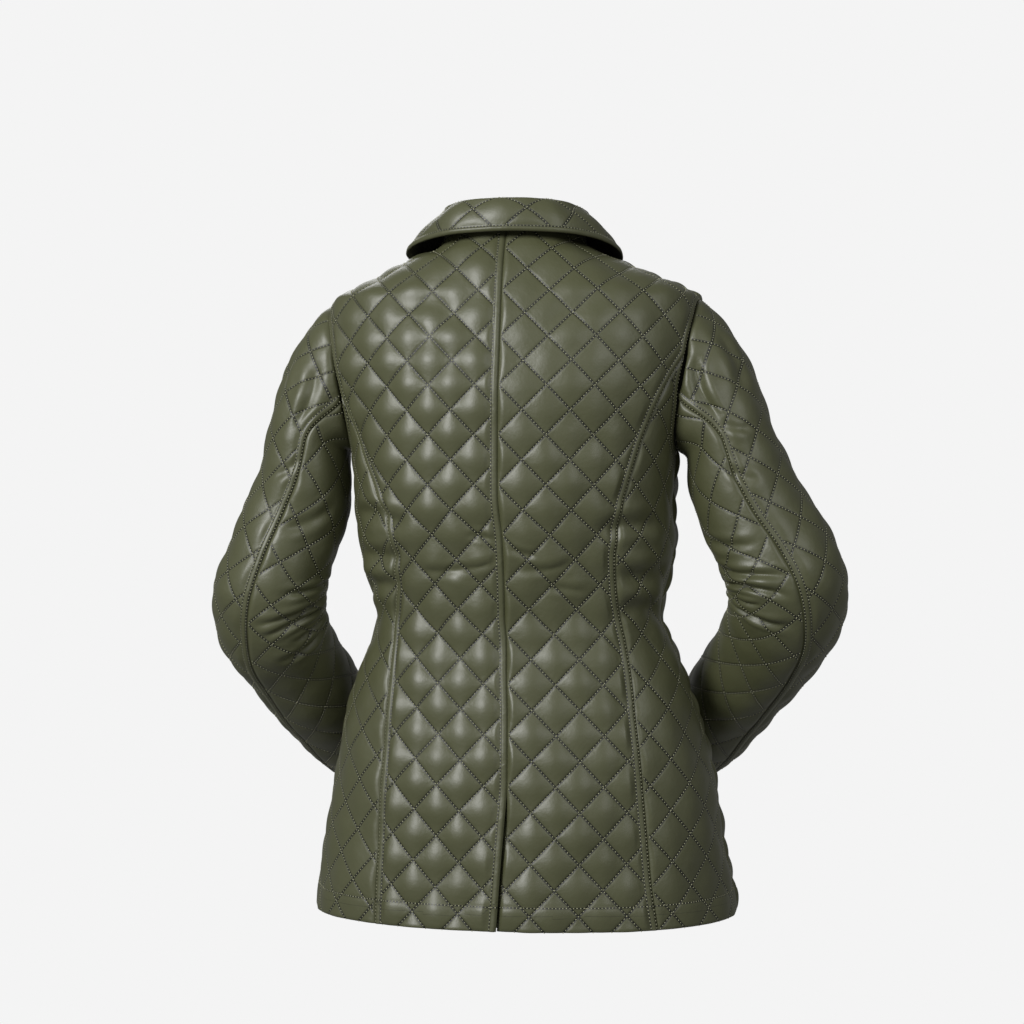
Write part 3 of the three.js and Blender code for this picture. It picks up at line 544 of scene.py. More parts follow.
class SleeveForm:
    """A bent sleeve: rings along the arm and a head that reaches up to the armhole."""

    top_angle: float = 112.0
    front_angle: float = 250.0
    head_steps: int = 24
    ring_steps: int = 12
    measured_angle: float = 75.0
    head_angle_step: float = 2.0
    head_out: tuple = (0.12, 0.75)
    head_back: float = 0.30
    head_up: float = 0.42
    smoothing: range = range(-4, 5)
    smoothing_step: float = 0.03
    tangent_step: float = 1e-4

    def __init__(self, body: Body, side: Side, rows: tuple) -> None:
        """Work out the frames along the arm.

        Args:
            body: The trunk that the armhole lies on.
            side: The wearer's side.
            rows: Centre, half sizes and seam angle of each ring.
        """
        table = np.array(rows, float)
        self.body, self.side = body, side
        self.last = len(table) - 1
        index = np.arange(len(table))
        self.wide, self.deep, self.seam = (Table(index, table[:, c]) for c in (3, 4, 5))
        self.steps = self.last * self.ring_steps
        ts = np.linspace(0, 1, self.steps + 1)
        knots = table[:, :3]
        self.centres = centripetal(knots, ts)
        along = np.zeros((len(ts), 3))
        for k in self.smoothing:
            at = np.clip(ts + k * self.smoothing_step, 0, 1)
            ahead = centripetal(knots, np.minimum(at + self.tangent_step, 1))
            along += unit(ahead - centripetal(knots, np.maximum(at - self.tangent_step, 0)))
        self.along = unit(along)
        out = np.array([float(side.value), 0, 0])
        outs, backs = [], []
        for a in self.along:
            out = unit(out - a * float(out @ a))
            outs.append(out)
            backs.append(unit(np.cross(a, out) * -side.value))
        self.outs, self.backs = np.array(outs), np.array(backs)
        places = np.linspace(0, self.last, self.steps + 1)
        line = self.ring(np.full(len(places), self.measured_angle), places)
        self.arcs = np.concatenate([[0], run_length(line)])
        self.total = float(self.arcs[-1])
        self.head_angles = np.arange(-180, 361, self.head_angle_step)
        fractions = np.linspace(1, 0, self.head_steps + 1)
        rise = run_length(self.head(self.head_angles[:, None], fractions[None, :]), axis=1)
        self.head_arcs = np.concatenate([np.zeros((len(rise), 1)), rise], axis=1)

    def ring(self, angle: Array, t: Array) -> Array:
        """Point of the tube at an angle from the outside and a place along the arm.

        Args:
            angle: Angles from the outside of the arm.
            t: Places along the arm, counted in rings.

        Returns:
            Points in space.
        """
        angle, t = np.broadcast_arrays(np.asarray(angle, float), np.asarray(t, float))
        at = np.clip(t / self.last, 0, 1) * self.steps
        i = np.minimum(at.astype(int), self.steps - 1)
        f = (at - i)[..., None]
        centre, out, back = (lerp(a[i], a[i + 1], f) for a in (self.centres, self.outs, self.backs))
        a = np.radians(angle)[..., None]
        outward = out * self.wide(t)[..., None] * np.cos(a)
        return centre + outward + back * self.deep(t)[..., None] * np.sin(a)

    def head(self, angle: Array, w: Array) -> Array:
        """Point of the head: w is 0 at the armhole and 1 at the first ring.

        Args:
            angle: Angles from the outside of the arm.
            w: Places on the head.

        Returns:
            Points in space.
        """
        angle, w = np.broadcast_arrays(np.asarray(angle, float), np.asarray(w, float))
        start = self.body.armhole_points(self.side, angle)
        end = self.ring(angle, np.zeros(angle.shape))
        reach = np.linalg.norm(end - start, axis=-1, keepdims=True)
        lean = (1 + np.cos(np.radians(angle))) / 2
        least, more = self.head_out
        away = unit(xyz(self.side.value * (least + more * lean),
                        self.head_back * np.sin(np.radians(angle)), -1 + self.head_up * lean))
        p1 = start + away * reach / 3
        p2 = end - self.along[0] * reach / 3
        w = w[..., None]
        s = 1 - w
        return s ** 3 * start + 3 * s * s * w * p1 + 3 * s * w * w * p2 + w ** 3 * end

    def head_arc(self, angle: Array) -> Array:
        """Length of the head from the first ring up to the armhole."""
        return np.interp(angle, self.head_angles, self.head_arcs[:, -1])

    def place(self, v: Array) -> Array:
        """Place along the arm at a length down the sleeve."""
        return np.interp(v, self.arcs, np.linspace(0, self.last, self.steps + 1))

    def around(self, v: Array) -> Array:
        """Girth of the sleeve at a length down it."""
        t = self.place(np.maximum(v, 0))
        return math.pi * (self.wide(t) + self.deep(t))

    def surface(self, angle: Array, v: Array) -> Array:
        """Point by angle and length: v below zero lies on the head.

        Args:
            angle: Angles from the outside of the arm.
            v: Lengths down the sleeve.

        Returns:
            Points in space.
        """
        angle, v = np.broadcast_arrays(np.asarray(angle, float), np.asarray(v, float))
        tube = self.ring(angle, self.place(np.clip(v, 0, self.total)))
        at = (angle - self.head_angles[0]) / self.head_angle_step
        at = np.clip(at, 0, len(self.head_angles) - 1.001)
        i = at.astype(int)
        f = (at - i)[..., None]
        arcs = lerp(self.head_arcs[i], self.head_arcs[i + 1], f)
        up = np.clip(-v, 0, arcs[..., -1])[..., None]
        k = np.clip((arcs <= up).sum(axis=-1) - 1, 0, self.head_steps - 1)[..., None]
        a0 = np.take_along_axis(arcs, k, -1)
        a1 = np.take_along_axis(arcs, k + 1, -1)
        w = 1 - (k + (up - a0) / np.maximum(a1 - a0, 1e-9))[..., 0] / self.head_steps
        return np.where((v < 0)[..., None], self.head(angle, np.clip(w, 0, 1)), tube)

    def seam_angle(self, v: Array) -> Array:
        """Angle of the back seam at a length down the sleeve.

        Args:
            v: Lengths down the sleeve.

        Returns:
            Angles in degrees.
        """
        top = float(self.head_arc(self.top_angle))
        first = float(self.seam(0.0))
        on_tube = self.seam(self.place(np.maximum(v, 0)))
        return np.where(v >= 0, on_tube, first + (self.top_angle - first) * np.clip(-v, 0, top) / top)


@dataclass
class Fold:
    """A soft crease in the cloth, between two points of a panel's flat coordinates."""

    start: tuple[float, float]
    end: tuple[float, float]
    width: float
    depth: float
    bend: float = 0.0


@dataclass
class Edge:
    """One edge of a panel and what is sewn along it."""

    line: Array
    rows: tuple[float, ...] = ()
    free: bool = False
    plain_band: bool = True

    def flipped(self) -> "Edge":
        """The same edge, run the other way."""
        return replace(self, line=self.line[::-1])


def graded(length: float) -> Array:
    """Fractions of a length, closer together near both of its ends.

    Args:
        length: The length in millimetres.

    Returns:
        Rising fractions from 0 to 1, a whole number of inside steps apart in all.
    """
    margin = min(CLOTH.edge_margin, length / 3)
    at = [0.0, margin, length - margin, length]
    ends = margin / CLOTH.edge_step
    density = [0.0, ends, ends + (length - 2 * margin) / CLOTH.mesh_step]
    density.append(density[-1] + ends)
    count = max(int(math.ceil(density[-1] / CLOTH.inside_step)), 2) * CLOTH.inside_step
    return np.interp(np.linspace(0, density[-1], count + 1), density, at) / length


def along_line(points: Array, fractions: Array) -> Array:
    """Points at fractions of a line's length.

    Args:
        points: The line.
        fractions: Fractions of its length.

    Returns:
        Points there.
    """
    run = np.concatenate([[0], run_length(points)])
    at = fractions * run[-1]
    return np.stack([np.interp(at, run, points[:, c]) for c in range(points.shape[1])], -1)


def line_length(points: Array) -> float:
    """Length of a line of points."""
    return float(np.linalg.norm(np.diff(points, axis=0), axis=1).sum())


def distance_to(line: Array, at: Array) -> Array:
    """Least distance of many flat points from a line.

    Args:
        line: Points of the line.
        at: Flat points.

    Returns:
        A distance for each point.
    """
    a, b = line[:-1], line[1:]
    step = b - a
    size = np.maximum((step ** 2).sum(1), 1e-9)
    points = at.reshape(-1, 2)
    out = np.empty(len(points))
    for start in range(0, len(points), 4000):
        p = points[start:start + 4000, None, :]
        t = np.clip(((p - a) * step).sum(-1) / size, 0, 1)
        gap = p - a - t[..., None] * step
        out[start:start + 4000] = np.sqrt((gap ** 2).sum(-1).min(1))
    return out.reshape(at.shape[:-1])


def isolines(value: Array, level: float, keep: Array) -> tuple[Array, Array, Array]:
    """Where a field on a grid takes a level.

    Args:
        value: Field over the grid.
        level: The level.
        keep: Where the line may lie.

    Returns:
        Grid positions of the line's points (row, column) and its segments.
    """
    f = value - level
    rows, cols = f.shape
    across = (f[:, :-1] < 0) != (f[:, 1:] < 0)
    down = (f[:-1] < 0) != (f[1:] < 0)
    across &= keep[:, :-1] & keep[:, 1:]
    down &= keep[:-1] & keep[1:]
    ids_a = np.full(across.shape, -1)
    ids_a[across] = np.arange(across.sum())
    ids_d = np.full(down.shape, -1)
    ids_d[down] = across.sum() + np.arange(down.sum())
    ra, ca = np.nonzero(across)
    rd, cd = np.nonzero(down)
    ta = f[ra, ca] / (f[ra, ca] - f[ra, ca + 1])
    td = f[rd, cd] / (f[rd, cd] - f[rd + 1, cd])
    at_row = np.concatenate([ra, rd + td])
    at_col = np.concatenate([ca + ta, cd])
    cell = np.stack([ids_a[:-1], ids_a[1:], ids_d[:, :-1], ids_d[:, 1:]], -1).reshape(-1, 4)
    two = (cell >= 0).sum(1) == 2
    pairs = np.sort(cell[two], axis=1)[:, 2:]
    return at_row, at_col, pairs


class Unevenness:
    """Soft, broad waves that keep the cloth from looking drawn with a ruler."""

    def __init__(self, height: float, wave: tuple[float, float], count: int, seed: int) -> None:
        """Choose the waves.

        Args:
            height: Greatest rise in millimetres, about.
            wave: Shortest and longest wave in millimetres.
            count: How many waves are added up.
            seed: Seed of their directions.
        """
        draw = np.random.default_rng(seed)
        ways = unit(draw.normal(size=(count, 3)))
        self.ways = ways * (2 * math.pi / draw.uniform(*wave, size=(count, 1)))
        self.starts = draw.uniform(0, 2 * math.pi, size=count)
        self.height = height / math.sqrt(count)

    def __call__(self, points: Array) -> Array:
        """Height at points in space."""
        return self.height * np.sin(points @ self.ways.T + self.starts).sum(-1)


UNEVEN = Unevenness(height=1.3, wave=(55.0, 150.0), count=14, seed=11)


class Panel:
    """A quilted cloth panel: a dense wall over four edges in its flat coordinates."""

    def __init__(self, name: str, node: str, surface: Callable[[Array, Array], Array],
                 edges: tuple[Edge, Edge, Edge, Edge],
                 lattice: Callable[[Array, Array], tuple[Array, Array]],
                 puff: float, folds: tuple[Fold, ...] = (),
                 relief: Optional[Callable[[Array, Array], Array]] = None,
                 crease_place: Optional[Callable[[Array], Array]] = None,
                 lift: float = 0.0, flare: Optional[Callable[["Panel"], Array]] = None) -> None:
        """Lay out the panel.

        Args:
            name: Name of the piece.
            node: Solid that it stands for.
            surface: Space points of flat points.
            edges: Bottom, right, top and left edge, each running left to right or upwards.
            lattice: The two quilting coordinates of flat points, whole on the stitch lines.
            puff: Rise of a diamond's middle.
            folds: Creases of this panel.
            relief: Factor on the puff, by flat point.
            crease_place: Flat points in the coordinates that the folds are given in.
            lift: Height of the whole piece over its surface.
            flare: Further height of both walls, by the finished net.
        """
        self.name, self.node, self.surface = name, node, surface
        self.edges, self.lattice, self.puff, self.folds = edges, lattice, puff, folds
        self.relief, self.lift, self.flare = relief, lift, flare
        self.crease_place = crease_place or (lambda flat: flat)
        self._grid()
        self._raise()

    def _grid(self) -> None:
        """Fill the four edges with an even net of flat points."""
        bottom, right, top, left = (e.line for e in self.edges)
        across = graded(max(line_length(bottom), line_length(top)))
        upward = graded(max(line_length(left), line_length(right)))
        b, t = along_line(bottom, across)[None], along_line(top, across)[None]
        lf, r = along_line(left, upward)[:, None], along_line(right, upward)[:, None]
        x = across[None, :, None]
        y = upward[:, None, None]
        corner = ((1 - x) * (1 - y) * b[:, :1] + x * (1 - y) * b[:, -1:]
                  + (1 - x) * y * t[:, :1] + x * y * t[:, -1:])
        self.flat = (1 - y) * b + y * t + (1 - x) * lf + x * r - corner
        self.base = self.surface(self.flat[..., 0], self.flat[..., 1])
        self.away = [distance_to(e.line, self.flat) for e in self.edges]
        self.normal = self._facing()
        move = self.lift + sum((self._fold(fold) for fold in self.folds), 0.0)
        if not self.lift:
            move = move + UNEVEN(self.base)
        if self.flare is not None:
            move = move + self.flare(self)
        self.base = self.base + self.normal * (move + np.zeros(self.away[0].shape))[..., None]
        self.normal = self._facing()

    def _facing(self) -> Array:
        """Outward directions of the base form.

        Returns:
            A direction for each point of the net.
        """
        along_u = np.gradient(self.base, axis=1)
        along_v = np.gradient(self.base, axis=0)
        return unit(np.cross(along_u, along_v))

    def _raise(self) -> None:
        """Work out the height of the cloth over its base form."""
        a, b = self.lattice(self.flat[..., 0], self.flat[..., 1])
        self.a, self.b = a, b

        def pillow(x: Array) -> Array:
            """Rounded rise between two stitch lines."""
            gap = np.abs(x - np.round(x)) * 2
            return 1 - (1 - gap) ** CLOTH.dome

        height = self.puff * pillow(a) * pillow(b)
        if self.relief is not None:
            height = height * self.relief(self.flat[..., 0], self.flat[..., 1])
        self.stitchable = np.full(height.shape, self.puff > 0)
        self.row_gaps = [np.full(height.shape, CLOTH.far_gap) for _ in range(2)]
        for edge, away in zip(self.edges, self.away):
            last = edge.rows[-1] if edge.rows else 0.0
            if edge.rows and edge.plain_band:
                height = height * smooth((away - last + CLOTH.quilt_start) / CLOTH.band_ease)
                within = 1 - smooth((away - last + CLOTH.band_fall_start) / CLOTH.band_fall)
                height = height + CLOTH.band * smooth(away / CLOTH.band_rise) * within
                self.stitchable &= away > last + CLOTH.band_clear
            elif not edge.free:
                height = height * smooth((away + CLOTH.quilt_start) / CLOTH.quilt_ease)
                self.stitchable &= away > CLOTH.quilt_clear
            depth = CLOTH.groove * (CLOTH.free_groove if edge.free else 1.0)
            height = height - depth * bell(away / CLOTH.groove_width)
            for slot, row in enumerate(edge.rows):
                gap = away - row
                height = height - CLOTH.row_depth * bell(gap / CLOTH.row_width)
                nearer = np.abs(gap) < np.abs(self.row_gaps[slot])
                self.row_gaps[slot] = np.where(nearer, gap, self.row_gaps[slot])
        self.height = height
        self.outer = self.base + self.normal * height[..., None]

    def _fold(self, fold: Fold) -> Array:
        """Height that one crease adds.

        Args:
            fold: The crease.

        Returns:
            A height for each point of the net.
        """
        start, end = np.array(fold.start, float), np.array(fold.end, float)
        axis = end - start
        long = float(np.linalg.norm(axis))
        axis /= long
        side = np.array([-axis[1], axis[0]])
        offset = self.crease_place(self.flat) - start
        x = offset @ axis / long
        y = offset @ side - fold.bend * 4 * x * (1 - x)
        taper = smooth(x / 0.3) * smooth((1 - x) / 0.3)
        ridge = bell((np.abs(y) - CLOTH.ridge_place * fold.width) / fold.width)
        return taper * (-fold.depth * bell(y / fold.width) + CLOTH.ridge * fold.depth * ridge)

    def flat_area(self) -> float:
        """Area of the flat cloth in square metres.

        Returns:
            The area, summed over the net.
        """
        p = self.flat
        u, v = p[1:, 1:] - p[:-1, :-1], p[1:, :-1] - p[:-1, 1:]
        return float(np.abs(u[..., 0] * v[..., 1] - u[..., 1] * v[..., 0]).sum() / 2 * MM * MM)

    def mesh(self) -> bpy.types.Object:
        """Closed wall: dense outside, plain inside, joined round the edge.

        Returns:
            The linked object.
        """
        rows, cols = self.height.shape
        step = CLOTH.inside_step
        inner = (self.base - self.normal * CLOTH.wall)[::step, ::step]
        ir, ic = inner.shape[:2]
        verts = np.concatenate([self.outer.reshape(-1, 3), inner.reshape(-1, 3)])
        k = np.arange(rows * cols).reshape(rows, cols)
        m = rows * cols + np.arange(ir * ic).reshape(ir, ic)

        def quads(g: Array, turn: bool) -> Array:
            """Quads over a net of indices."""
            q = np.stack([g[:-1, :-1], g[:-1, 1:], g[1:, 1:], g[1:, :-1]], -1).reshape(-1, 4)
            return q[:, ::-1] if turn else q

        faces = quads(k, False).tolist() + quads(m, True).tolist()
        rim = [(k[0, :], m[0, :], False), (k[:, -1], m[:, -1], False),
               (k[-1, :], m[-1, :], True), (k[:, 0], m[:, 0], True)]
        for fine, coarse, turn in rim:
            for j in range(len(coarse) - 1):
                arc = fine[j * step:(j + 1) * step + 1].tolist()
                face = [int(coarse[j + 1])] + arc[::-1] + [int(coarse[j])]
                faces.append(face[::-1] if turn else face)
        uv = np.concatenate([self.flat.reshape(-1, 2), self.flat[::step, ::step].reshape(-1, 2)]) * MM
        ab = np.stack([self.a, self.b], -1)
        lattice = np.concatenate([ab.reshape(-1, 2), ab[::step, ::step].reshape(-1, 2)])
        inside = np.full(ir * ic, CLOTH.far_gap)
        rows_of = [np.concatenate([gap.ravel(), inside]) for gap in self.row_gaps]
        quilted = np.concatenate([self.stitchable.ravel().astype(float), np.zeros(ir * ic)])
        obj = build_mesh(self.name + "_cloth", verts * MM, faces, {"cloth": uv, "lattice": lattice},
                         {"row_a": rows_of[0], "row_b": rows_of[1], "quilted": quilted})
        kinds = np.zeros(len(faces), dtype=np.int32)
        outer = (rows - 1) * (cols - 1)
        kinds[outer:outer + (ir - 1) * (ic - 1)] = 1
        obj.data.polygons.foreach_set("material_index", kinds)
        return obj

    def thread_lines(self) -> "Threads":
        """Every line of stitches on the panel.

        Returns:
            The lines.
        """
        threads = Threads()
        for value in (self.a, self.b):
            low, high = int(math.ceil(value.min())), int(math.floor(value.max()))
            for level in range(low, high + 1):
                line = isolines(value, level + 1e-4, self.stitchable)
                threads.add(self, *line, lift=CLOTH.stitch_lift)
        for n, edge in enumerate(self.edges):
            for row in edge.rows:
                clear = np.ones(self.height.shape, bool)
                for k, away in enumerate(self.away):
                    if k != n:
                        clear &= away > CLOTH.row_clear
                threads.add(self, *isolines(self.away[n], row, clear), lift=CLOTH.row_lift)
        return threads


class Threads:
    """Lines that the stitches follow, with the way the cloth faces."""

    def __init__(self) -> None:
        """Start with no line."""
        self.points: list[Array] = []
        self.normals: list[Array] = []
        self.edges: list[Array] = []
        self.count = 0

    def add(self, panel: Panel, at_row: Array, at_col: Array, pairs: Array, lift: float) -> None:
        """Add a line given by places on a panel's net.

        Args:
            panel: The panel that it is sewn on.
            at_row: Rows of its points, with fractions.
            at_col: Columns of its points, with fractions.
            pairs: Points that are joined.
            lift: Height of the line over the cloth.
        """
        if not len(pairs):
            return
        i = np.minimum(at_row.astype(int), panel.height.shape[0] - 2)
        j = np.minimum(at_col.astype(int), panel.height.shape[1] - 2)
        f, g = (at_row - i)[:, None], (at_col - j)[:, None]
        normal = unit(between(panel.normal, i, j, f, g))
        self.points.append((between(panel.outer, i, j, f, g) + normal * lift) * MM)
        self.normals.append(normal)
        self.edges.append(pairs + self.count)
        self.count += len(normal)

    def merge(self, other: "Threads") -> None:
        """Take in another panel's lines.

        Args:
            other: The other lines.
        """
        self.points += other.points
        self.normals += other.normals
        self.edges += [e + self.count for e in other.edges]
        self.count += other.count


def build_mesh(name: str, verts: Array, faces: list, uvs: dict[str, Array],
               floats: dict[str, Array]) -> bpy.types.Object:
    """Write arrays into a mesh at the origin.

    Args:
        name: Name of the piece.
        verts: Points in metres.
        faces: Lists of point numbers.
        uvs: UV maps by name, a pair for each point.
        floats: Point attributes by name.

    Returns:
        The linked object.
    """
    mesh = bpy.data.meshes.new(name)
    mesh.from_pydata(verts.tolist(), [], faces)
    loops = np.empty(len(mesh.loops), dtype=np.int32)
    mesh.loops.foreach_get("vertex_index", loops)
    for key, pairs in uvs.items():
        layer = mesh.uv_layers.new(name=key)
        layer.data.foreach_set("uv", pairs[loops].astype(np.float32).ravel())
    for key, values in floats.items():
        attribute = mesh.attributes.new(key, "FLOAT", "POINT")
        attribute.data.foreach_set("value", values.astype(np.float32))
    mesh.shade_smooth()
    return add_object(name, mesh)


class StitchTool:
    """Geometry Nodes tree that sews stitches along lines."""

    settings: tuple = (
        ("Spacing", "NodeSocketFloat", 0.0036), ("Length", "NodeSocketFloat", 0.0018),
        ("Width", "NodeSocketFloat", 0.0013), ("Height", "NodeSocketFloat", 0.0011),
        ("Seed", "NodeSocketInt", 7),
    )
    kinds: dict = {
        "source": "NodeGroupInput", "curve": "GeometryNodeMeshToCurve",
        "resample": "GeometryNodeResampleCurve", "tangent": "GeometryNodeInputTangent",
        "lie": "GeometryNodeInputNamedAttribute", "first": "FunctionNodeAlignRotationToVector",
        "second": "FunctionNodeAlignRotationToVector", "bead": "GeometryNodeMeshUVSphere",
        "size": "ShaderNodeCombineXYZ", "vary": "FunctionNodeRandomValue",
        "scale": "ShaderNodeVectorMath", "place": "GeometryNodeInstanceOnPoints",
        "real": "GeometryNodeRealizeInstances", "dress": "GeometryNodeSetMaterial",
        "sink": "NodeGroupOutput",
    }
    values: tuple = (
        ("lie", "Name", "lie"), ("bead", "Segments", 4), ("bead", "Rings", 2), ("bead", "Radius", 0.5),
        ("vary", "Min", (0.9, 0.85, 0.8)), ("vary", "Max", (1.08, 1.1, 1.15)),
    )
    joins: tuple = (
        ("source", "Lines", "curve", "Mesh"), ("curve", "Curve", "resample", "Curve"),
        ("source", "Spacing", "resample", "Length"), ("tangent", "Tangent", "first", "Vector"),
        ("first", "Rotation", "second", "Rotation"), ("lie", "Attribute", "second", "Vector"),
        ("source", "Length", "size", "X"), ("source", "Width", "size", "Y"),
        ("source", "Height", "size", "Z"), ("source", "Seed", "vary", "Seed"),
        ("size", "Vector", "scale", 0), ("vary", "Value", "scale", 1),
        ("resample", "Curve", "place", "Points"), ("bead", "Mesh", "place", "Instance"),
        ("second", "Rotation", "place", "Rotation"), ("scale", "Vector", "place", "Scale"),
        ("place", "Instances", "real", "Geometry"), ("real", "Geometry", "dress", "Geometry"),
        ("dress", "Geometry", "sink", "Stitches"),
    )

    def __init__(self, material: bpy.types.Material) -> None:
        """Build the tree.

        Args:
            material: Finish of the thread.
        """
        tree = bpy.data.node_groups.new("sew_stitches", "GeometryNodeTree")
        face = tree.interface
        face.new_socket("Lines", in_out="INPUT", socket_type="NodeSocketGeometry")
        self.inputs: dict[str, str] = {}
        for name, kind, default in self.settings:
            socket = face.new_socket(name, in_out="INPUT", socket_type=kind)
            socket.default_value = default
            self.inputs[name] = socket.identifier
        face.new_socket("Stitches", in_out="OUTPUT", socket_type="NodeSocketGeometry")
        nodes = {name: tree.nodes.new(kind) for name, kind in self.kinds.items()}
        nodes["resample"].mode = "LENGTH"
        nodes["lie"].data_type = nodes["vary"].data_type = "FLOAT_VECTOR"
        nodes["first"].axis = "X"
        nodes["second"].axis = "Z"
        nodes["second"].pivot_axis = "X"
        nodes["scale"].operation = "MULTIPLY"
        for name, socket, value in self.values:
            nodes[name].inputs[socket].default_value = value
        nodes["dress"].inputs["Material"].default_value = material
        for giver, output, taker, entry in self.joins:
            tree.links.new(nodes[giver].outputs[output], nodes[taker].inputs[entry])
        self.tree = tree
        self.material = material

    def sew(self, name: str, threads: Threads, seed: int) -> bpy.types.Object:
        """Turn lines into a plain mesh of stitches.

        Args:
            name: Name of the piece.
            threads: The lines.
            seed: Seed of the small differences.

        Returns:
            The mesh object, with no modifier left.
        """
        mesh = bpy.data.meshes.new(name + "_lines")
        points = np.concatenate(threads.points)
        mesh.from_pydata(points.tolist(), np.concatenate(threads.edges).tolist(), [])
        lie = mesh.attributes.new("lie", "FLOAT_VECTOR", "POINT")
        lie.data.foreach_set("vector", np.concatenate(threads.normals).astype(np.float32).ravel())
        carrier = add_object(name + "_lines", mesh)
        modifier = carrier.modifiers.new("sew", "NODES")
        modifier.node_group = self.tree
        modifier[self.inputs["Seed"]] = seed
        depsgraph = bpy.context.evaluated_depsgraph_get()
        made = bpy.data.meshes.new_from_object(carrier.evaluated_get(depsgraph), depsgraph=depsgraph)
        made.name = name
        made.materials.clear()
        made.materials.append(self.material)
        made.polygons.foreach_set("material_index", np.zeros(len(made.polygons), dtype=np.int32))
        obj = add_object(name, made)
        bpy.data.objects.remove(carrier)
        return obj


def quilt(u0: float, v0: float) -> Callable[[Array, Array], tuple[Array, Array]]:
    """Quilting coordinates with a crossing of stitch lines at a flat point.

    Args:
        u0: First flat coordinate of the crossing.
        v0: Second flat coordinate of it.

    Returns:
        A function from flat points to the two coordinates.
    """

    def lattice(u: Array, v: Array) -> tuple[Array, Array]:
        """The two coordinates, whole on the stitch lines.

        Args:
            u: First flat coordinates.
            v: Second flat coordinates.

        Returns:
            The two quilting coordinates.
        """
        a = (u - u0) / (2 * CLOTH.pitch_u)
        b = (v - v0) / (2 * CLOTH.pitch_v)
        return a + b, a - b

    return lattice


BACK_FOLDS = (
    # Creases across the back at the waist and at its sides, by distance and flat height.
    Fold((4, -98), (40, -92), 3.2, 1.5, 2),
    Fold((2, -116), (66, -126), 3.8, 1.6, -4),
    Fold((34, -136), (92, -128), 4.2, 1.3, 3),
    Fold((-3, -104), (-38, -112), 3.2, 1.5, 2),
    Fold((-8, -128), (-78, -116), 4.0, 1.4, 4),
    Fold((-36, -146), (-88, -150), 3.8, 1.2, -2),
    Fold((92, -82), (196, -70), 8, 3.4, 6),
    Fold((98, -112), (200, -106), 8, 4.0, -5),
    Fold((112, -146), (198, -152), 8, 3.4, 5),
    Fold((-86, -92), (-196, -80), 8, 3.0, -6),
    Fold((-108, -132), (-200, -126), 9, 4.6, 5),
    Fold((-112, -166), (-196, -176), 8, 2.8, -4),
    Fold((40, 128), (120, 150), 12, 1.8, 8),
    Fold((-36, 120), (-118, 146), 12, 1.6, -8),
)
FRONT_FOLDS = (
    # The like creases in front, where the sleeves press the cloth together.
    Fold((34, -102), (120, -90), 8, 2.8, 5),
    Fold((36, -134), (128, -142), 8, 3.0, -5),
    Fold((110, -74), (206, -64), 9, 3.6, 6),
    Fold((116, -118), (208, -112), 9, 4.2, -5),
    Fold((-36, -96), (-124, -84), 8, 2.6, -4),
    Fold((-38, -128), (-120, -138), 8, 3.0, 5),
    Fold((-114, -80), (-206, -70), 9, 3.6, -5),
    Fold((-118, -124), (-208, -116), 9, 4.2, 5),
    Fold((60, 62), (150, 112), 13, 2.2, 9),
    Fold((-60, 58), (-150, 108), 13, 2.0, -9),
)
LEFT_SLEEVE_FOLDS = (
    # Creases of the elbow and the head, by distance round from the outside and flat height.
    Fold((198, -128), (112, -166), 4.6, 2.6, 5),
    Fold((200, -160), (88, -206), 4.8, 3.8, 7),
    Fold((203, -190), (96, -222), 4.4, 4.2, -6),
    Fold((204, -212), (128, -232), 3.8, 2.6, 4),
    Fold((205, -236), (104, -256), 5.0, 2.8, 5),
    Fold((-20, -214), (-104, -196), 6, 2.4, 5),
    Fold((-30, -172), (-110, -160), 6, 2.6, -5),
    Fold((58, 96), (84, 8), 5.5, 3.2, 7),
    Fold((26, 118), (44, 30), 7, 2.0, -6),
    Fold((-52, 92), (-74, 10), 7, 2.4, 6),
    Fold((150, -50), (92, -96), 5.5, 2.0, 4),
    Fold((96, -14), (64, -44), 4.8, 1.6, 3),
)
RIGHT_SLEEVE_FOLDS = (
    # The same for the other sleeve.
    Fold((186, -66), (100, -112), 4.6, 2.6, 5),
    Fold((190, -100), (84, -156), 4.6, 3.8, 7),
    Fold((194, -138), (92, -182), 4.2, 4.2, -6),
    Fold((197, -164), (122, -186), 3.8, 2.8, 4),
    Fold((198, -190), (88, -214), 5.0, 3.6, 6),
    Fold((-24, -196), (-104, -178), 6, 2.6, 5),
    Fold((-28, -156), (-108, -146), 6, 2.6, -5),
    Fold((66, 100), (86, 10), 5.0, 4.0, 9),
    Fold((34, 122), (50, 36), 7, 2.2, -6),
    Fold((-54, 94), (-72, 12), 7, 2.4, 6),
    Fold((104, -24), (72, -54), 4.8, 1.8, 3),
    Fold((54, 2), (92, 18), 4.4, 1.6, -3),
)


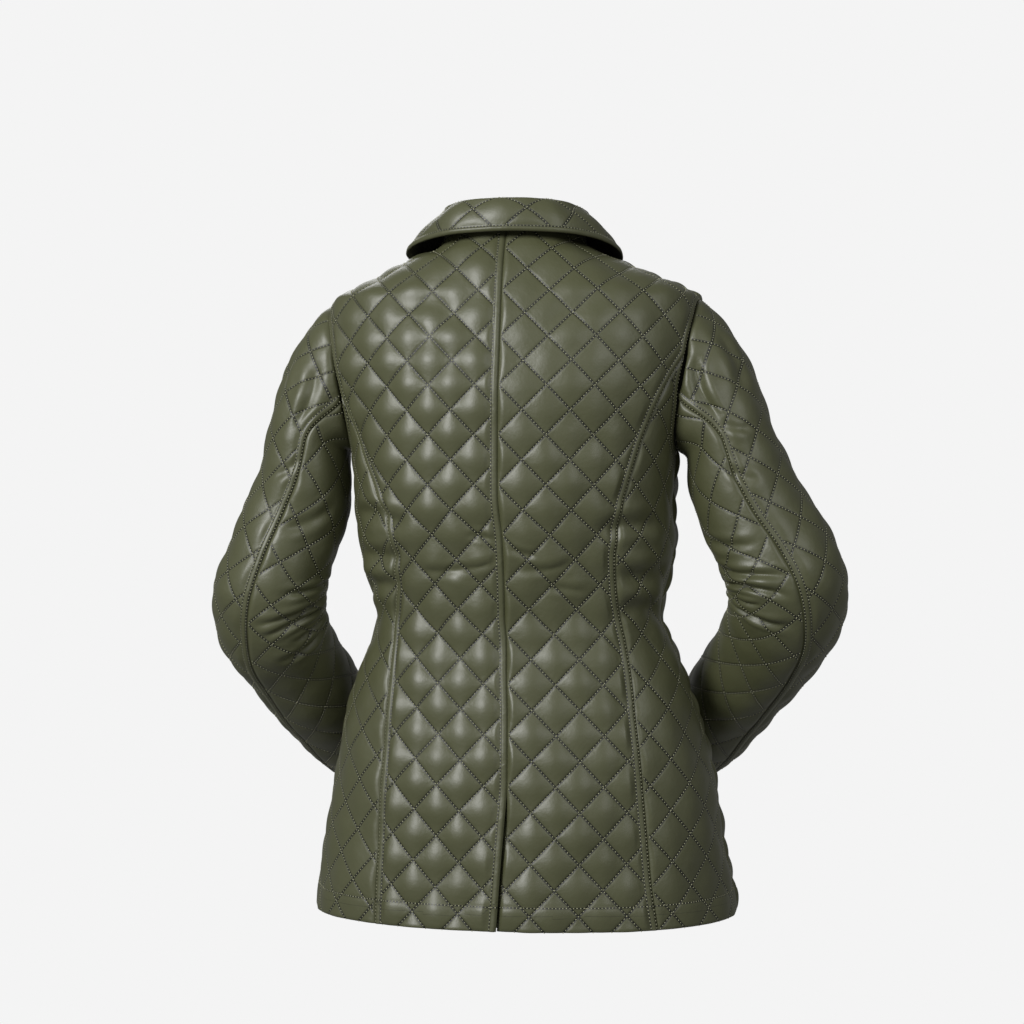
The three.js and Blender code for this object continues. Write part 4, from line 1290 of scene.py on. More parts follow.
@dataclass
class Trunk:
    """The back, the side backs and the fronts, cut from the body's form."""

    body: Body
    band_rows: tuple[float, ...] = (1.6, 7.6)
    centre_row: float = 7.0
    hem_row: float = 24.0
    quilt_left: float = -418.0
    quilt_right: float = -393.0
    placket_half: float = 19.0
    vent_lift: float = 2.8
    vent_sink: float = 3.2
    vent_ease: float = 40.0
    placket_lift: float = 0.9
    placket_row: float = 4.0
    underlap_span: tuple[float, float] = (-22.0, 30.0)
    side_shift: float = 8.0
    spacing: float = 2.0
    tops: dict = field(default_factory=lambda: {Side.LEFT: -143.0, Side.RIGHT: -106.0})
    stretched: dict = field(default_factory=lambda: {Side.LEFT: (60.0, 0.35), Side.RIGHT: (-40.0, 0.5)})
    stretch_length: float = 110.0
    filling: dict = field(default_factory=lambda: {Side.LEFT: 1.0, Side.RIGHT: 0.82})

    def __post_init__(self) -> None:
        """Lay the princess seams."""
        tables = {Side.LEFT: LEFT_PRINCESS, Side.RIGHT: RIGHT_PRINCESS}
        self.princess = {s: PrincessSeam(self.body, s, tables[s], self.tops[s]) for s in Side}

    def _steps(self, start: float, end: float) -> Array:
        """Values from one to another, close together."""
        return np.linspace(start, end, max(int(abs(end - start) / self.spacing), 2) + 1)

    def _spots(self, half: Half, s: Array, z: Array) -> Array:
        """Flat points of places on the trunk."""
        return xyz(s, self.body.flat(half, s, z))

    def _turns(self, start: float, end: float) -> Array:
        """Angles from one to another, just within both."""
        return np.clip(self._steps(start, end), min(start, end) + 1e-3, max(start, end) - 1e-3)

    def _armhole(self, side: Side, start: float, end: float) -> Array:
        """Flat points of a stretch of the armhole."""
        half, s, z = self.body.armhole(self._turns(start, end))
        return self._spots(half, side.value * s, z)

    def _neck(self, side: Side, start: float, end: float) -> Array:
        """Flat points of a stretch of the neck seam."""
        return self._spots(*self.body.neck(side, self._turns(start, end)))

    def _shoulder(self, side: Side, half: Half) -> Array:
        """Flat points of the shoulder's edge, from the neck outwards."""
        z = self._steps(self.body.neck_z, self.body.shoulder_z)
        return self._spots(half, side.value * self.body.girth(half, z), z)

    def _hem(self, side: Side, half: Half, start: float, end: float) -> Edge:
        """The hem of a panel, by the distances of its ends from the centre line.

        Args:
            side: The wearer's side.
            half: Back or front.
            start: Distance of the inner end.
            end: Distance of the outer end, on the side's own sign.

        Returns:
            The edge, outwards, with its row of stitches.
        """
        z = self.body.hem_z
        line = self._spots(half, self._steps(start, side.value * end), z)
        return Edge(line, (self.hem_row,), free=True, plain_band=False)

    def _side_seam(self, side: Side, half: Half) -> Array:
        """Flat points of the side seam, upwards."""
        z = self._steps(self.body.hem_z, self.body.armhole_z - self.body.armhole_half)
        return self._spots(half, side.value * self.body.girth(half, z), z)

    def _cut(self, kind: str, side: Side, half: Half, edges: tuple[Edge, Edge, Edge, Edge],
             shift: float = 0.0, puff: float = CLOTH.puff, **looks: Callable) -> Panel:
        """Make one panel of the trunk.

        Args:
            kind: back, side_back or front.
            side: The wearer's side.
            half: Back or front.
            edges: The lower, the outer, the upper and the inner edge.
            shift: Distance of a crossing of stitch lines from the centre line.
            puff: Rise of a diamond's middle.
            looks: The panel's own relief and flare.

        Returns:
            The panel.
        """
        height = self.quilt_left if side is Side.LEFT else self.quilt_right
        name = f"{kind}_{side.name.lower()}"
        return Panel(name, name, self._surface(half), self._order(side, half, *edges),
                     quilt(shift, height - self.body.flat_z), puff,
                     BACK_FOLDS if half is Half.BACK else FRONT_FOLDS, **looks)

    def _surface(self, half: Half) -> Callable[[Array, Array], Array]:
        """Space points of flat points."""
        return lambda u, v: self.body.point(half, u, self.body.height(half, u, v))

    def _order(self, side: Side, half: Half, bottom: Edge, outer: Edge, top: Edge,
               inner: Edge) -> tuple[Edge, Edge, Edge, Edge]:
        """Edges as seen from outside.

        Args:
            side: The wearer's side.
            half: Back or front.
            bottom: The lower edge, from the centre outwards.
            outer: The edge away from the centre, upwards.
            top: The upper edge, from the centre outwards.
            inner: The edge at the centre, upwards.

        Returns:
            Bottom, right, top and left edge.
        """
        if (half is Half.BACK) == (side is Side.LEFT):
            return bottom.flipped(), inner, top.flipped(), outer
        return bottom, outer, top, inner

    def _princess_line(self, side: Side) -> Array:
        """Flat points of the princess seam, upwards."""
        z = self._steps(self.body.hem_z, self.tops[side])
        return self._spots(Half.BACK, side.value * self.princess[side].at(z), z)

    def _vent_flare(self, panel: Panel) -> Array:
        """Lift of the left edge of the vent, and sinking of the right one under it.

        Args:
            panel: The back panel.

        Returns:
            A height for each point of the net.
        """
        below = smooth((self.body.vent_z - self.body.flat_z - panel.flat[..., 1]) / self.vent_ease)
        if panel.name.endswith("left"):
            return self.vent_lift * below * bell(panel.away[1] / 16)
        return -self.vent_sink * below * bell(panel.away[3] / 20)

    def _calm(self, side: Side) -> Callable[[Array, Array], Array]:
        """Factor for the height of the quilting, which the shoulders stretch flatter.

        Args:
            side: The wearer's side.

        Returns:
            A function from flat points to the factor.
        """
        start, loss = self.stretched[side]
        filling = self.filling[side]
        return lambda u, v: filling * (1 - loss * smooth((v - start) / self.stretch_length))

    def back(self, side: Side) -> Panel:
        """The centre back panel of one side.

        Args:
            side: The wearer's side.

        Returns:
            The panel.
        """
        body, seam = self.body, self.princess[side]
        z = self._steps(body.hem_z, body.back_neck_z)
        centre = self._spots(Half.BACK, body.vent_edge(z), z)
        hem = self._hem(side, Half.BACK, body.vent_edge(body.hem_z), float(seam.at(body.hem_z)))
        outer = np.concatenate([self._princess_line(side), self._armhole(side, seam.angle, 0)[1:]])
        top = np.concatenate([self._neck(side, 0, 90), self._shoulder(side, Half.BACK)[1:]])
        outer[-1] = top[-1]
        edges = (hem, Edge(outer, self.band_rows), Edge(top),
                 Edge(centre, (self.centre_row,) if side is Side.LEFT else ()))
        return self._cut("back", side, Half.BACK, edges, relief=self._calm(side),
                         flare=self._vent_flare)

    def side_back(self, side: Side) -> Panel:
        """The side back panel, under the arm.

        Args:
            side: The wearer's side.

        Returns:
            The panel.
        """
        body, seam = self.body, self.princess[side]
        outer, inner = self._side_seam(side, Half.BACK), self._princess_line(side)
        hem = self._hem(side, Half.BACK, side.value * float(seam.at(body.hem_z)),
                        float(body.girth(Half.BACK, body.hem_z)))
        top = self._armhole(side, seam.angle, 180)
        top[0], top[-1] = inner[-1], outer[-1]
        edges = (hem, Edge(outer), Edge(top, self.band_rows), Edge(inner))
        return self._cut("side_back", side, Half.BACK, edges,
                         side.value * self.side_shift * CLOTH.pitch_u, CLOTH.inner_puff)

    def front(self, side: Side) -> Panel:
        """The front panel of one side, with the placket's strip left plain.

        Args:
            side: The wearer's side.

        Returns:
            The panel.
        """
        body = self.body
        z = self._steps(body.hem_z, body.front_neck_z)
        inner = self._spots(Half.FRONT, side.value * 1e-6, z)
        hem = self._hem(side, Half.FRONT, 0, float(body.girth(Half.FRONT, body.hem_z)))
        outer = np.concatenate([self._side_seam(side, Half.FRONT), self._armhole(side, 180, 360)[1:]])
        top = np.concatenate([self._neck(side, 180, 90), self._shoulder(side, Half.FRONT)[1:]])
        outer[-1], inner[-1] = top[-1], top[0]
        edges = (hem, Edge(outer), Edge(top), Edge(inner, free=True))
        plain = self.placket_half + 1.0
        return self._cut("front", side, Half.FRONT, edges,
                         relief=lambda u, v: smooth((np.abs(u) - plain) / 7))

    def strip(self, name: str, half: Half, span: tuple[float, float], heights: tuple[float, float],
              lift: float, rows: tuple[float, ...]) -> Panel:
        """A narrow plain piece over or under the trunk.

        Args:
            name: Name of the piece and of its solid.
            half: Back or front.
            span: Its two sides, by distance from the centre line.
            heights: Its lower and upper end.
            lift: Height over the trunk.
            rows: Stitch rows along its sides.

        Returns:
            The piece.
        """
        first, last = span if half is Half.FRONT else span[::-1]
        z = self._steps(*heights)
        s = self._steps(first, last)
        edges = (Edge(self._spots(half, s, heights[0]), free=True, plain_band=False),
                 Edge(self._spots(half, last, z), rows, free=True),
                 Edge(self._spots(half, s, heights[1]), free=True, plain_band=False),
                 Edge(self._spots(half, first, z), rows, free=True))
        folds = BACK_FOLDS if half is Half.BACK else FRONT_FOLDS
        return Panel(name, name, self._surface(half), edges, quilt(0.0, 0.0), 0.0, folds, lift=lift)

    def panels(self) -> list[Panel]:
        """Every piece of the trunk.

        Returns:
            The panels.
        """
        made = [cut(side) for side in Side for cut in (self.back, self.side_back, self.front)]
        body = self.body
        made.append(self.strip("front_placket", Half.FRONT, (-self.placket_half, self.placket_half),
                               (body.hem_z + 1, body.front_neck_z - 6),
                               CLOTH.wall + self.placket_lift, (self.placket_row,)))
        made.append(self.strip("vent_underlap", Half.BACK, self.underlap_span,
                               (body.hem_z + 3, body.vent_z + 6),
                               -(CLOTH.wall + 1.0 + self.vent_sink), ()))
        return made


@dataclass
class Sleeve:
    """The upper and the under sleeve of one side."""

    form: SleeveForm
    folds: tuple[Fold, ...]
    band_rows: tuple[float, ...] = (1.6, 7.6)
    cuff_row: float = 24.0
    spacing: float = 2.0

    def _spots(self, middle: float, angle: Array, v: Array) -> Array:
        """Flat points by angle and length down the sleeve."""
        angle, v = np.asarray(angle, float), np.asarray(v, float)
        return xyz((angle - middle) / 360 * self.form.around(v), -v)

    def _seam(self, middle: float, back: bool) -> Array:
        """Flat points of a seam, from the cuff up.

        Args:
            middle: Angle of the panel's middle.
            back: Whether it is the back seam.

        Returns:
            The line.
        """
        at = self.form.top_angle if back else self.form.front_angle
        top = float(self.form.head_arc(at))
        v = np.linspace(self.form.total, -top, int((self.form.total + top) / self.spacing))
        turned = -360.0 if not back and middle == 0 else 0.0
        return self._spots(middle, self.form.seam_angle(v) if back else at + turned, v)

    def _panel(self, kind: str, middle: float, start: float, end: float, low: Edge, high: Edge,
               puff: float) -> Panel:
        """One of the two pieces.

        Args:
            kind: upper or under.
            middle: Angle of its middle.
            start: Lowest angle at the armhole.
            end: Highest angle at the armhole.
            low: Seam at the low angles, upwards.
            high: Seam at the high angles, upwards.
            puff: Rise of a diamond's middle.

        Returns:
            The panel.
        """
        form = self.form
        angles = np.linspace(start, end, int((end - start) / 1.5) + 1)
        top = Edge(self._spots(middle, angles, -form.head_arc(angles)))
        turns = form.around(form.total) / 360
        cuff_angles = np.linspace(low.line[0, 0] / turns, high.line[0, 0] / turns, 120) + middle
        bottom = Edge(self._spots(middle, cuff_angles, form.total), (self.cuff_row,), free=True,
                      plain_band=False)
        top.line[0], top.line[-1] = low.line[-1], high.line[-1]
        edges = (bottom, high, top, low)
        if form.side is Side.RIGHT:
            edges = (bottom.flipped(), low, top.flipped(), high)

        def surface(u: Array, w: Array) -> Array:
            """Space points of flat points."""
            return form.surface(middle + u * 360 / form.around(-w), -w)

        def crease_place(flat: Array) -> Array:
            """Flat points measured round from the outside of the arm."""
            around = form.around(-flat[..., 1])
            return np.stack([flat[..., 0] + middle / 360 * around, flat[..., 1]], -1)

        name = f"{kind}_sleeve_{form.side.name.lower()}"
        return Panel(name, name, surface, edges, quilt(0.0, 0.0), puff, self.folds,
                     crease_place=crease_place)

    def panels(self) -> list[Panel]:
        """Both pieces of the sleeve.

        Returns:
            The upper and the under sleeve.
        """
        form = self.form
        upper = self._panel("upper", 0.0, form.front_angle - 360, form.top_angle,
                            Edge(self._seam(0.0, False)), Edge(self._seam(0.0, True), self.band_rows),
                            CLOTH.sleeve_puff)
        under = self._panel("under", 180.0, form.top_angle, form.front_angle,
                            Edge(self._seam(180.0, True)), Edge(self._seam(180.0, False)),
                            CLOTH.inner_puff)
        return [upper, under]


@dataclass
class Collar:
    """The collar: one cloth from the leaf's edge over the fold to the neck seam."""

    body: Body
    rows: tuple = (
        # turn from the centre back, fold x, y and z, edge x, y and z
        (0, 0, 71, 57, 0, 84, 22), (30, 40, 63, 57, 50, 76, 21), (60, 66, 38, 54, 92, 50, 19),
        (90, 78, 0, 50, 118, 0, 8), (120, 66, -58, 26, 104, -62, -8),
        (150, 40, -88, -6, 80, -105, -52), (180, 10, -104, -34, 46, -125, -100),
    )
    end: float = 178.0
    arc: float = 1.35
    height: float = 80.0
    fold_room: float = 5.0
    edge_row: float = 4.6
    quilt_u: float = 4.7
    quilt_v: float = -1.4
    neck_steps: int = 361
    tuck: float = 7.0
    inset: float = 1.2
    fold_drop: float = 5.0
    leaf_bulge: float = 4.0
    fold_share: float = 0.6

    def __post_init__(self) -> None:
        """Prepare the curves round the neck."""
        table = np.array(self.rows, float)
        level = {2, 3, 5, 6}
        self.curves = [Table(table[:, 0], table[:, c], c in level) for c in range(1, 7)]
        self.neck_turns = np.linspace(0, 180, self.neck_steps)
        grid = [(turn, self._neck_joint(float(turn))) for turn in self.neck_turns]
        self.neck_line = np.array([point for _, point in grid])

    def _neck_joint(self, turn: float) -> Array:
        """Point just inside the neck seam of the left side.

        Args:
            turn: Turn round the neck.

        Returns:
            The point.
        """
        at = np.array([min(max(turn, 1e-3), 179.9)])
        half, s, z = self.body.neck(Side.LEFT, at)
        point = self.body.point(half, s, z)[0]
        reach = float(self.body.girth(half, z)[0]) - 1.5
        mid = min(float(abs(s[0])), reach)
        top = 1.5 if abs(float(s[0])) > 60 else 3.0
        across = self.body.point(half, mid + 1, z)[0] - self.body.point(half, mid - 1, z)[0]
        up = self.body.point(half, mid, z + top)[0] - self.body.point(half, mid, z - top)[0]
        normal = unit(np.cross(up, across)) * (1 if half is Half.BACK else -1)
        angle = math.radians(turn)
        normal = unit(normal + np.array([math.sin(angle), math.cos(angle), 0.1]))
        return point - normal * CLOTH.wall

    def surface(self, u: Array, v: Array) -> Array:
        """Space points by cloth length round the neck and up from the leaf's edge.

        Args:
            u: Lengths round the neck.
            v: Lengths up from the leaf's edge.

        Returns:
            Points in space.
        """
        turn = u / self.arc
        q = np.clip(v / self.height, 0, 1)
        side = np.where(turn < 0, -1.0, 1.0)
        angle = np.clip(np.abs(turn), 0, 180)
        fx, fy, fz, ex, ey, ez = (curve(angle) for curve in self.curves)
        joint = np.stack([np.interp(angle, self.neck_turns, self.neck_line[:, c]) for c in range(3)], -1)
        joint[..., 0] *= side
        fold, edge = xyz(side * fx, fy, fz), xyz(side * ex, ey, ez)
        out = xyz(side * np.sin(np.radians(angle)), np.cos(np.radians(angle)), 0.0)
        joint = joint - out * self.inset - np.array([0.0, 0.0, self.tuck])
        drop = np.array([0.0, 0.0, -self.fold_drop])
        points = np.stack([edge, lerp(edge, fold, 0.5) + out * self.leaf_bulge,
                           fold + out * self.fold_room + drop, fold,
                           fold - out * self.fold_room + drop, joint])
        return centripetal(points, q)

    def panels(self) -> list[Panel]:
        """The collar as a panel.

        Returns:
            The one panel.
        """
        reach = self.end * self.arc
        u = np.linspace(reach, -reach, 300)
        v = np.linspace(0, self.height, 60)
        leaf, first, last = (Edge(line, (self.edge_row,), free=True)
                             for line in (xyz(u, 0.0), xyz(-reach, v), xyz(reach, v)))
        edges = (leaf, first, Edge(xyz(u, self.height)), last)
        fold_at = self.fold_share * self.height
        return [Panel("collar", "collar", self.surface, edges, quilt(self.quilt_u, self.quilt_v),
                      CLOTH.inner_puff, relief=lambda a, b: 1 - smooth((b - fold_at + 8) / 8))]


class Shader:
    """Short ways to add and join the nodes of a material."""

    def __init__(self, name: str) -> None:
        """Make an empty node material.

        Args:
            name: Name of the material.
        """
        self.material = bpy.data.materials.new(name)
        self.material.use_nodes = True
        self.tree = self.material.node_tree
        self.surface = self.tree.nodes["Principled BSDF"]

    def node(self, kind: str, links: Optional[dict] = None, **settings: object) -> bpy.types.Node:
        """Add a node.

        Args:
            kind: Type of the node.
            links: Sockets by name or number, each a socket to join or a value to set.
            settings: Properties of the node.

        Returns:
            The node.
        """
        made = self.tree.nodes.new(kind)
        for name, value in settings.items():
            setattr(made, name, value)
        for socket, value in (links or {}).items():
            if isinstance(value, Socket):
                self.tree.links.new(value, made.inputs[socket])
            else:
                made.inputs[socket].default_value = value
        return made

    def math(self, operation: str, a: object, b: object = 0.0, clamp: bool = False) -> Socket:
        """Result of an operation on one or two values."""
        made = self.node("ShaderNodeMath", {0: a, 1: b}, operation=operation, use_clamp=clamp)
        return made.outputs[0]

    def mix(self, factor: object, a: object, b: object) -> Socket:
        """Mix of two colours."""
        made = self.node("ShaderNodeMix", {"Factor": factor, 6: a, 7: b}, data_type="RGBA")
        return made.outputs[2]

    def noise(self, place: Socket, scale: float, detail: float = 3.0, rough: float = 0.5) -> Socket:
        """Cloudy values.

        Args:
            place: Coordinates.
            scale: How fine it is.
            detail: Layers of finer noise.
            rough: Strength of the finer layers.

        Returns:
            Values from 0 to 1.
        """
        made = self.node("ShaderNodeTexNoise", {"Vector": place, "Scale": scale, "Detail": detail,
                                                "Roughness": rough})
        return made.outputs["Fac"]

    def line(self, value: Socket, width: float) -> Socket:
        """1 where a value is near nought and 0 further off than a width."""
        return self.math("SUBTRACT", 1.0, self.math("DIVIDE", self.math("ABSOLUTE", value), width), True)

    def whole_gap(self, value: Socket) -> Socket:
        """Distance of a value from the nearest whole number."""
        return self.math("SUBTRACT", value, self.math("ROUND", value))

    def place(self) -> Socket:
        """Object coordinates."""
        return self.node("ShaderNodeTexCoord").outputs["Object"]

    def attribute(self, name: str) -> Socket:
        """A number that the mesh carries at each point."""
        return self.node("ShaderNodeAttribute", attribute_name=name).outputs["Fac"]

    def spread(self, value: Socket, low: float, high: float) -> Socket:
        """A value from 0 to 1 laid out between two others."""
        made = self.node("ShaderNodeMapRange", {"Value": value, "To Min": low, "To Max": high})
        return made.outputs[0]

    def bump(self, height: Socket, strength: float, distance: float,
             under: Optional[Socket] = None) -> Socket:
        """Fine relief, over another one if there is one under it.

        Args:
            height: The relief.
            strength: How much of it shows.
            distance: Its height in metres.
            under: Relief that lies under it.

        Returns:
            Normals.
        """
        links = {"Strength": strength, "Distance": distance, "Height": height}
        if under is not None:
            links["Normal"] = under
        return self.node("ShaderNodeBump", links).outputs[0]

    def finish(self, **inputs: object) -> bpy.types.Material:
        """Fill the surface's inputs, named with _ for a space, and give the material.

        Args:
            inputs: Values or sockets by input.

        Returns:
            The material.
        """
        for name, value in inputs.items():
            socket = self.surface.inputs[name.replace("_", " ")]
            if isinstance(value, Socket):
                self.tree.links.new(value, socket)
            else:
                socket.default_value = value
        return self.material


@dataclass(frozen=True)
class FauxLeather:
    """Soft olive faux leather over wadding."""

    name: str = "olive_faux_leather"
    base: tuple = (0.072, 0.076, 0.034, 1.0)
    light: tuple = (0.088, 0.092, 0.045, 1.0)
    worn: tuple = (0.098, 0.102, 0.060, 1.0)
    # painted shade: near-black colour laid along the stitch lines and seam rows, where the grooves lie
    # in shade
    painted_shade: tuple = (0.007, 0.008, 0.004, 1.0)
    roughness: tuple = (0.38, 0.54)
    # width and strength of the painted shade along the stitch lines; row_width is its width along the
    # seam rows
    shade_width: float = 0.046
    row_width: float = 1.0
    shade_strength: float = 2.0
    pinch_width: float = 0.10
    pucker_width: float = 0.30
    pucker_height: float = 0.9
    worn_from: float = 0.55
    worn_strength: float = 1.4
    grain_scale: float = 900.0
    grain_height: float = 0.25
    coat: float = 0.2
    coat_roughness: float = 0.36
    # scale, detail and roughness of each noise
    cloud: tuple = (9.0, 4.0)
    patch: tuple = (60.0, 3.0)
    pucker: tuple = (210.0, 3.0, 0.55)
    wrinkle: tuple = (95.0, 4.0, 0.6)
    gloss: tuple = (34.0, 5.0)
    # strength and height in metres of each relief
    sewn_relief: tuple = (0.55, 0.0012)
    grain_relief: tuple = (0.16, 0.0004)
    wrinkle_relief: tuple = (0.3, 0.0016)

    def _colour(self, s: Shader, place: Socket, gaps: list[Socket], quilted: Socket) -> Socket:
        """Cloudy olive, with painted shade darkening the stitch lines and the seam rows.

        Args:
            s: The material's nodes.
            place: Object coordinates.
            gaps: Distances from the two sets of stitch lines.
            quilted: 1 where the cloth is quilted.

        Returns:
            The colour.
        """
        colour = s.mix(s.noise(place, *self.cloud), self.base, self.light)
        patch = s.math("SUBTRACT", s.noise(place, *self.patch), self.worn_from, True)
        colour = s.mix(s.math("MULTIPLY", patch, self.worn_strength, True), colour, self.worn)
        # painted shade along the quilting lines and the topstitch rows, mixed in over the cloth colour
        lines = s.math("MAXIMUM", *(s.line(gap, self.shade_width) for gap in gaps))
        lines = s.math("MULTIPLY", lines, quilted)
        for row in ("row_a", "row_b"):
            lines = s.math("MAXIMUM", lines, s.line(s.attribute(row), self.row_width))
        return s.mix(s.math("MULTIPLY", lines, self.shade_strength, True), colour, self.painted_shade)

    def build(self) -> bpy.types.Material:
        """The material.

        Returns:
            The finished material.
        """
        s = Shader(self.name)
        place = s.place()
        lattice = s.node("ShaderNodeUVMap", uv_map="lattice").outputs[0]
        parts = s.node("ShaderNodeSeparateXYZ", {0: lattice})
        gaps = [s.whole_gap(parts.outputs[k]) for k in (0, 1)]
        quilted = s.attribute("quilted")
        pinch = s.math("MAXIMUM", *(s.line(gap, self.pinch_width) for gap in gaps))
        pinch = s.math("POWER", s.math("MULTIPLY", quilted, pinch), 2.0)
        near = s.math("MAXIMUM", *(s.line(gap, self.pucker_width) for gap in gaps))
        pucker = s.math("MULTIPLY", s.noise(place, *self.pucker), s.math("POWER", near, 1.5))
        fold = s.math("SUBTRACT", s.math("MULTIPLY", pucker, self.pucker_height), pinch)
        grain = s.node("ShaderNodeTexVoronoi", {"Vector": place, "Scale": self.grain_scale},
                       feature="DISTANCE_TO_EDGE")
        fine = s.math("MINIMUM", grain.outputs[0], self.grain_height)
        relief = s.bump(fine, *self.grain_relief, s.bump(fold, *self.sewn_relief))
        relief = s.bump(s.noise(place, *self.wrinkle), *self.wrinkle_relief, relief)
        return s.finish(Base_Color=self._colour(s, place, gaps, quilted), Normal=relief,
                        Roughness=s.spread(s.noise(place, *self.gloss), *self.roughness),
                        Specular_IOR_Level=0.5, Coat_Weight=self.coat,
                        Coat_Roughness=self.coat_roughness)


@dataclass(frozen=True)
class Backing:
    """Dull woven back of the cloth, seen inside the garment."""

    name: str = "woven_backing"
    base: tuple = (0.050, 0.052, 0.034, 1.0)
    light: tuple = (0.078, 0.080, 0.056, 1.0)
    threads_per_metre: float = 900.0
    shade_scale: float = 20.0
    roughness: float = 0.85
    relief: tuple = (0.4, 0.0003)

    def build(self) -> bpy.types.Material:
        """The material.

        Returns:
            The finished material.
        """
        s = Shader(self.name)
        cloth = s.node("ShaderNodeUVMap", uv_map="cloth").outputs[0]
        waves = [s.node("ShaderNodeTexWave", {"Vector": cloth, "Scale": self.threads_per_metre / 6.28},
                        bands_direction=way).outputs["Fac"] for way in ("X", "Y")]
        weave = s.math("MULTIPLY", *waves)
        shade = s.math("ADD", weave, s.noise(s.place(), self.shade_scale), True)
        return s.finish(Base_Color=s.mix(shade, self.base, self.light), Roughness=self.roughness,
                        Normal=s.bump(weave, *self.relief))


@dataclass(frozen=True)
class Thread:
    """Polyester sewing thread, a little lighter than the cloth."""

    name: str = "olive_thread"
    dark: tuple = (0.260, 0.265, 0.150, 1.0)
    light: tuple = (0.480, 0.480, 0.310, 1.0)
    cloud: tuple = (420.0, 2.0)
    twist: tuple = (3000.0, 2.0)
    relief: tuple = (0.3, 0.0002)
    roughness: float = 0.6
    sheen: float = 0.25

    def build(self) -> bpy.types.Material:
        """The material.

        Returns:
            The finished material.
        """
        s = Shader(self.name)
        place = s.place()
        return s.finish(Base_Color=s.mix(s.noise(place, *self.cloud), self.dark, self.light),
                        Normal=s.bump(s.noise(place, *self.twist), *self.relief),
                        Roughness=self.roughness, Sheen_Weight=self.sheen)


@dataclass(frozen=True)
class SnapMetal:
    """Dull antique metal of the snap caps."""

    name: str = "antique_snap_metal"
    dark: tuple = (0.070, 0.066, 0.052, 1.0)
    light: tuple = (0.230, 0.220, 0.180, 1.0)
    cloud: tuple = (260.0, 5.0, 0.65)
    grain_scale: float = 900.0
    relief: tuple = (0.15, 0.0003)
    roughness: tuple = (0.28, 0.5)
    metallic: float = 0.9

    def build(self) -> bpy.types.Material:
        """The material.

        Returns:
            The finished material.
        """
        s = Shader(self.name)
        place = s.place()
        cloud = s.noise(place, *self.cloud)
        return s.finish(Base_Color=s.mix(cloud, self.dark, self.light), Metallic=self.metallic,
                        Roughness=s.spread(cloud, *self.roughness),
                        Normal=s.bump(s.noise(place, self.grain_scale), *self.relief))


@dataclass
class Studio:
    """Camera, soft light and a plain pale surround."""

    camera_place: tuple = (-0.3031, 2.1791, -0.268)
    camera_turn: float = 188.0
    lens: float = 72.28
    sensor: float = 36.0
    surround: tuple = (0.905, 0.905, 0.905, 1.0)
    surround_light: float = 0.20
    aim: tuple = (0.0, 0.0, -0.33)
    lamps: tuple = (
        # name, place, size, power
        ("key", (1.45, 2.3, 1.0), 1.0, 76.0), ("fill", (-1.9, 2.3, 1.1), 1.2, 20.0),
        ("front", (0.6, -2.4, 1.3), 1.6, 22.0),
    )

    def camera(self) -> None:
        """Place the camera at the photograph's angle."""
        data = bpy.data.cameras.new("camera")
        data.lens, data.sensor_width = self.lens, self.sensor
        camera = add_object("camera", data)
        camera.location = self.camera_place
        camera.rotation_euler = (math.pi / 2, 0.0, math.radians(self.camera_turn))
        bpy.context.scene.camera = camera

    def light(self, name: str, place: tuple, size: float, power: float) -> None:
        """A square soft light aimed at the garment.

        Args:
            name: Its name.
            place: Where it hangs.
            size: Length of its side in metres.
            power: Its power in watts.
        """
        data = bpy.data.lights.new(name, "AREA")
        data.shape, data.size, data.energy = "SQUARE", size, power
        lamp = add_object(name, data)
        lamp.location = place
        lamp.rotation_euler = (Vector(self.aim) - Vector(place)).to_track_quat("-Z", "Y").to_euler()

    def world(self) -> None:
        """An even, nearly white surround."""
        world = bpy.data.worlds.new("surround")
        world.use_nodes = True
        tree = world.node_tree
        dim, seen = tree.nodes["Background"], tree.nodes.new("ShaderNodeBackground")
        for shade in (dim, seen):
            shade.inputs["Color"].default_value = self.surround
        dim.inputs["Strength"].default_value = self.surround_light
        path = tree.nodes.new("ShaderNodeLightPath")
        mix = tree.nodes.new("ShaderNodeMixShader")
        tree.links.new(path.outputs["Is Camera Ray"], mix.inputs["Fac"])
        tree.links.new(dim.outputs["Background"], mix.inputs[1])
        tree.links.new(seen.outputs["Background"], mix.inputs[2])
        tree.links.new(mix.outputs["Shader"], tree.nodes["World Output"].inputs["Surface"])
        bpy.context.scene.world = world

    def build(self) -> None:
        """Set up the whole studio."""
        self.camera()
        for lamp in self.lamps:
            self.light(*lamp)
        self.world()
        bpy.context.scene.view_settings.view_transform = "Standard"


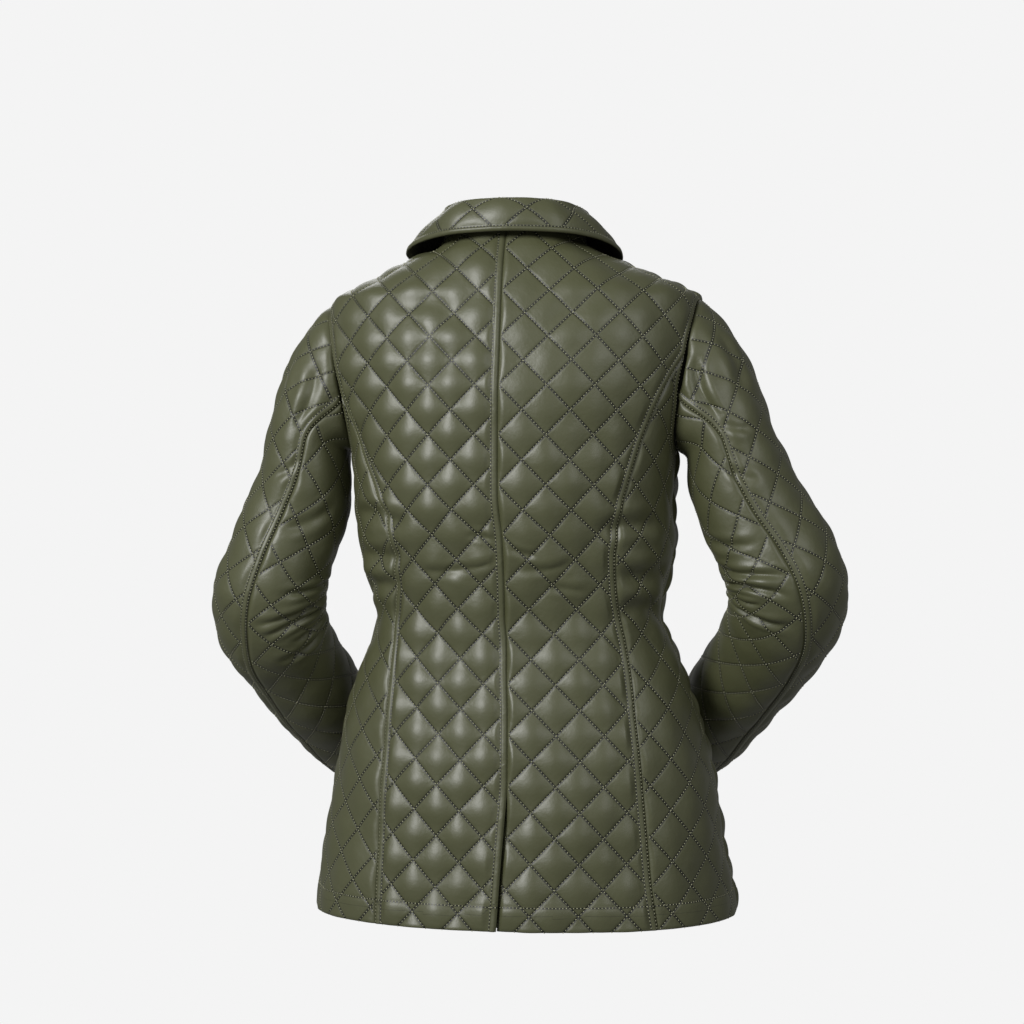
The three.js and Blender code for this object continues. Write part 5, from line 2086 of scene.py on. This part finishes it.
@dataclass
class Jacket:
    """The whole garment, dressed and handed over piece by piece."""

    leather: bpy.types.Material
    backing: bpy.types.Material
    metal: bpy.types.Material
    tool: StitchTool

    def dress(self, panel: Panel) -> None:
        """Make a panel's mesh and say what it is.

        Args:
            panel: The panel.
        """
        piece = panel.mesh()
        piece.data.materials.append(self.leather)
        piece.data.materials.append(self.backing)
        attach(piece, "root")
        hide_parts(panel.node)
        LOG.info("%s: %d faces, %.4f m2 flat", piece.name, len(piece.data.polygons), panel.flat_area())

    def sew(self, name: str, panels: list[Panel], seed: int) -> None:
        """Sew the stitches of some panels as one piece.

        Args:
            name: Name of the piece.
            panels: The panels that are sewn.
            seed: Seed of the small differences.
        """
        threads = Threads()
        for panel in panels:
            threads.merge(panel.thread_lines())
        piece = self.tool.sew(name, threads, seed)
        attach(piece, "root")
        LOG.info("%s: %d faces", piece.name, len(piece.data.polygons))

    def dress_snaps(self) -> None:
        """Give the snap caps their metal."""
        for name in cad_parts:
            if name.startswith("snap_"):
                cap = bpy.data.objects[name]
                cap.data.materials.clear()
                cap.data.materials.append(self.metal)
                LOG.info("%s: antique metal", name)


def main() -> None:
    """Build the studio and the jacket."""
    logging.basicConfig(level=logging.INFO, format="%(message)s")
    Studio().build()
    body = Body()
    thread = Thread().build()
    jacket = Jacket(FauxLeather().build(), Backing().build(), SnapMetal().build(), StitchTool(thread))
    trunk = Trunk(body).panels()
    left = Sleeve(SleeveForm(body, Side.LEFT, LEFT_SLEEVE), LEFT_SLEEVE_FOLDS).panels()
    right = Sleeve(SleeveForm(body, Side.RIGHT, RIGHT_SLEEVE), RIGHT_SLEEVE_FOLDS).panels()
    collar = Collar(body).panels()
    for panel in trunk + left + right + collar:
        jacket.dress(panel)
    seams = {"back": [p for p in trunk if "back" in p.name],
             "front": [p for p in trunk if p.name.startswith("front")],
             "sleeve_left": left, "sleeve_right": right, "collar": collar}
    for number, (name, panels) in enumerate(seams.items()):
        jacket.sew(f"stitches_{name}", panels, seed=3 + 2 * number)
    jacket.dress_snaps()


if __name__ == "__main__":
    main()
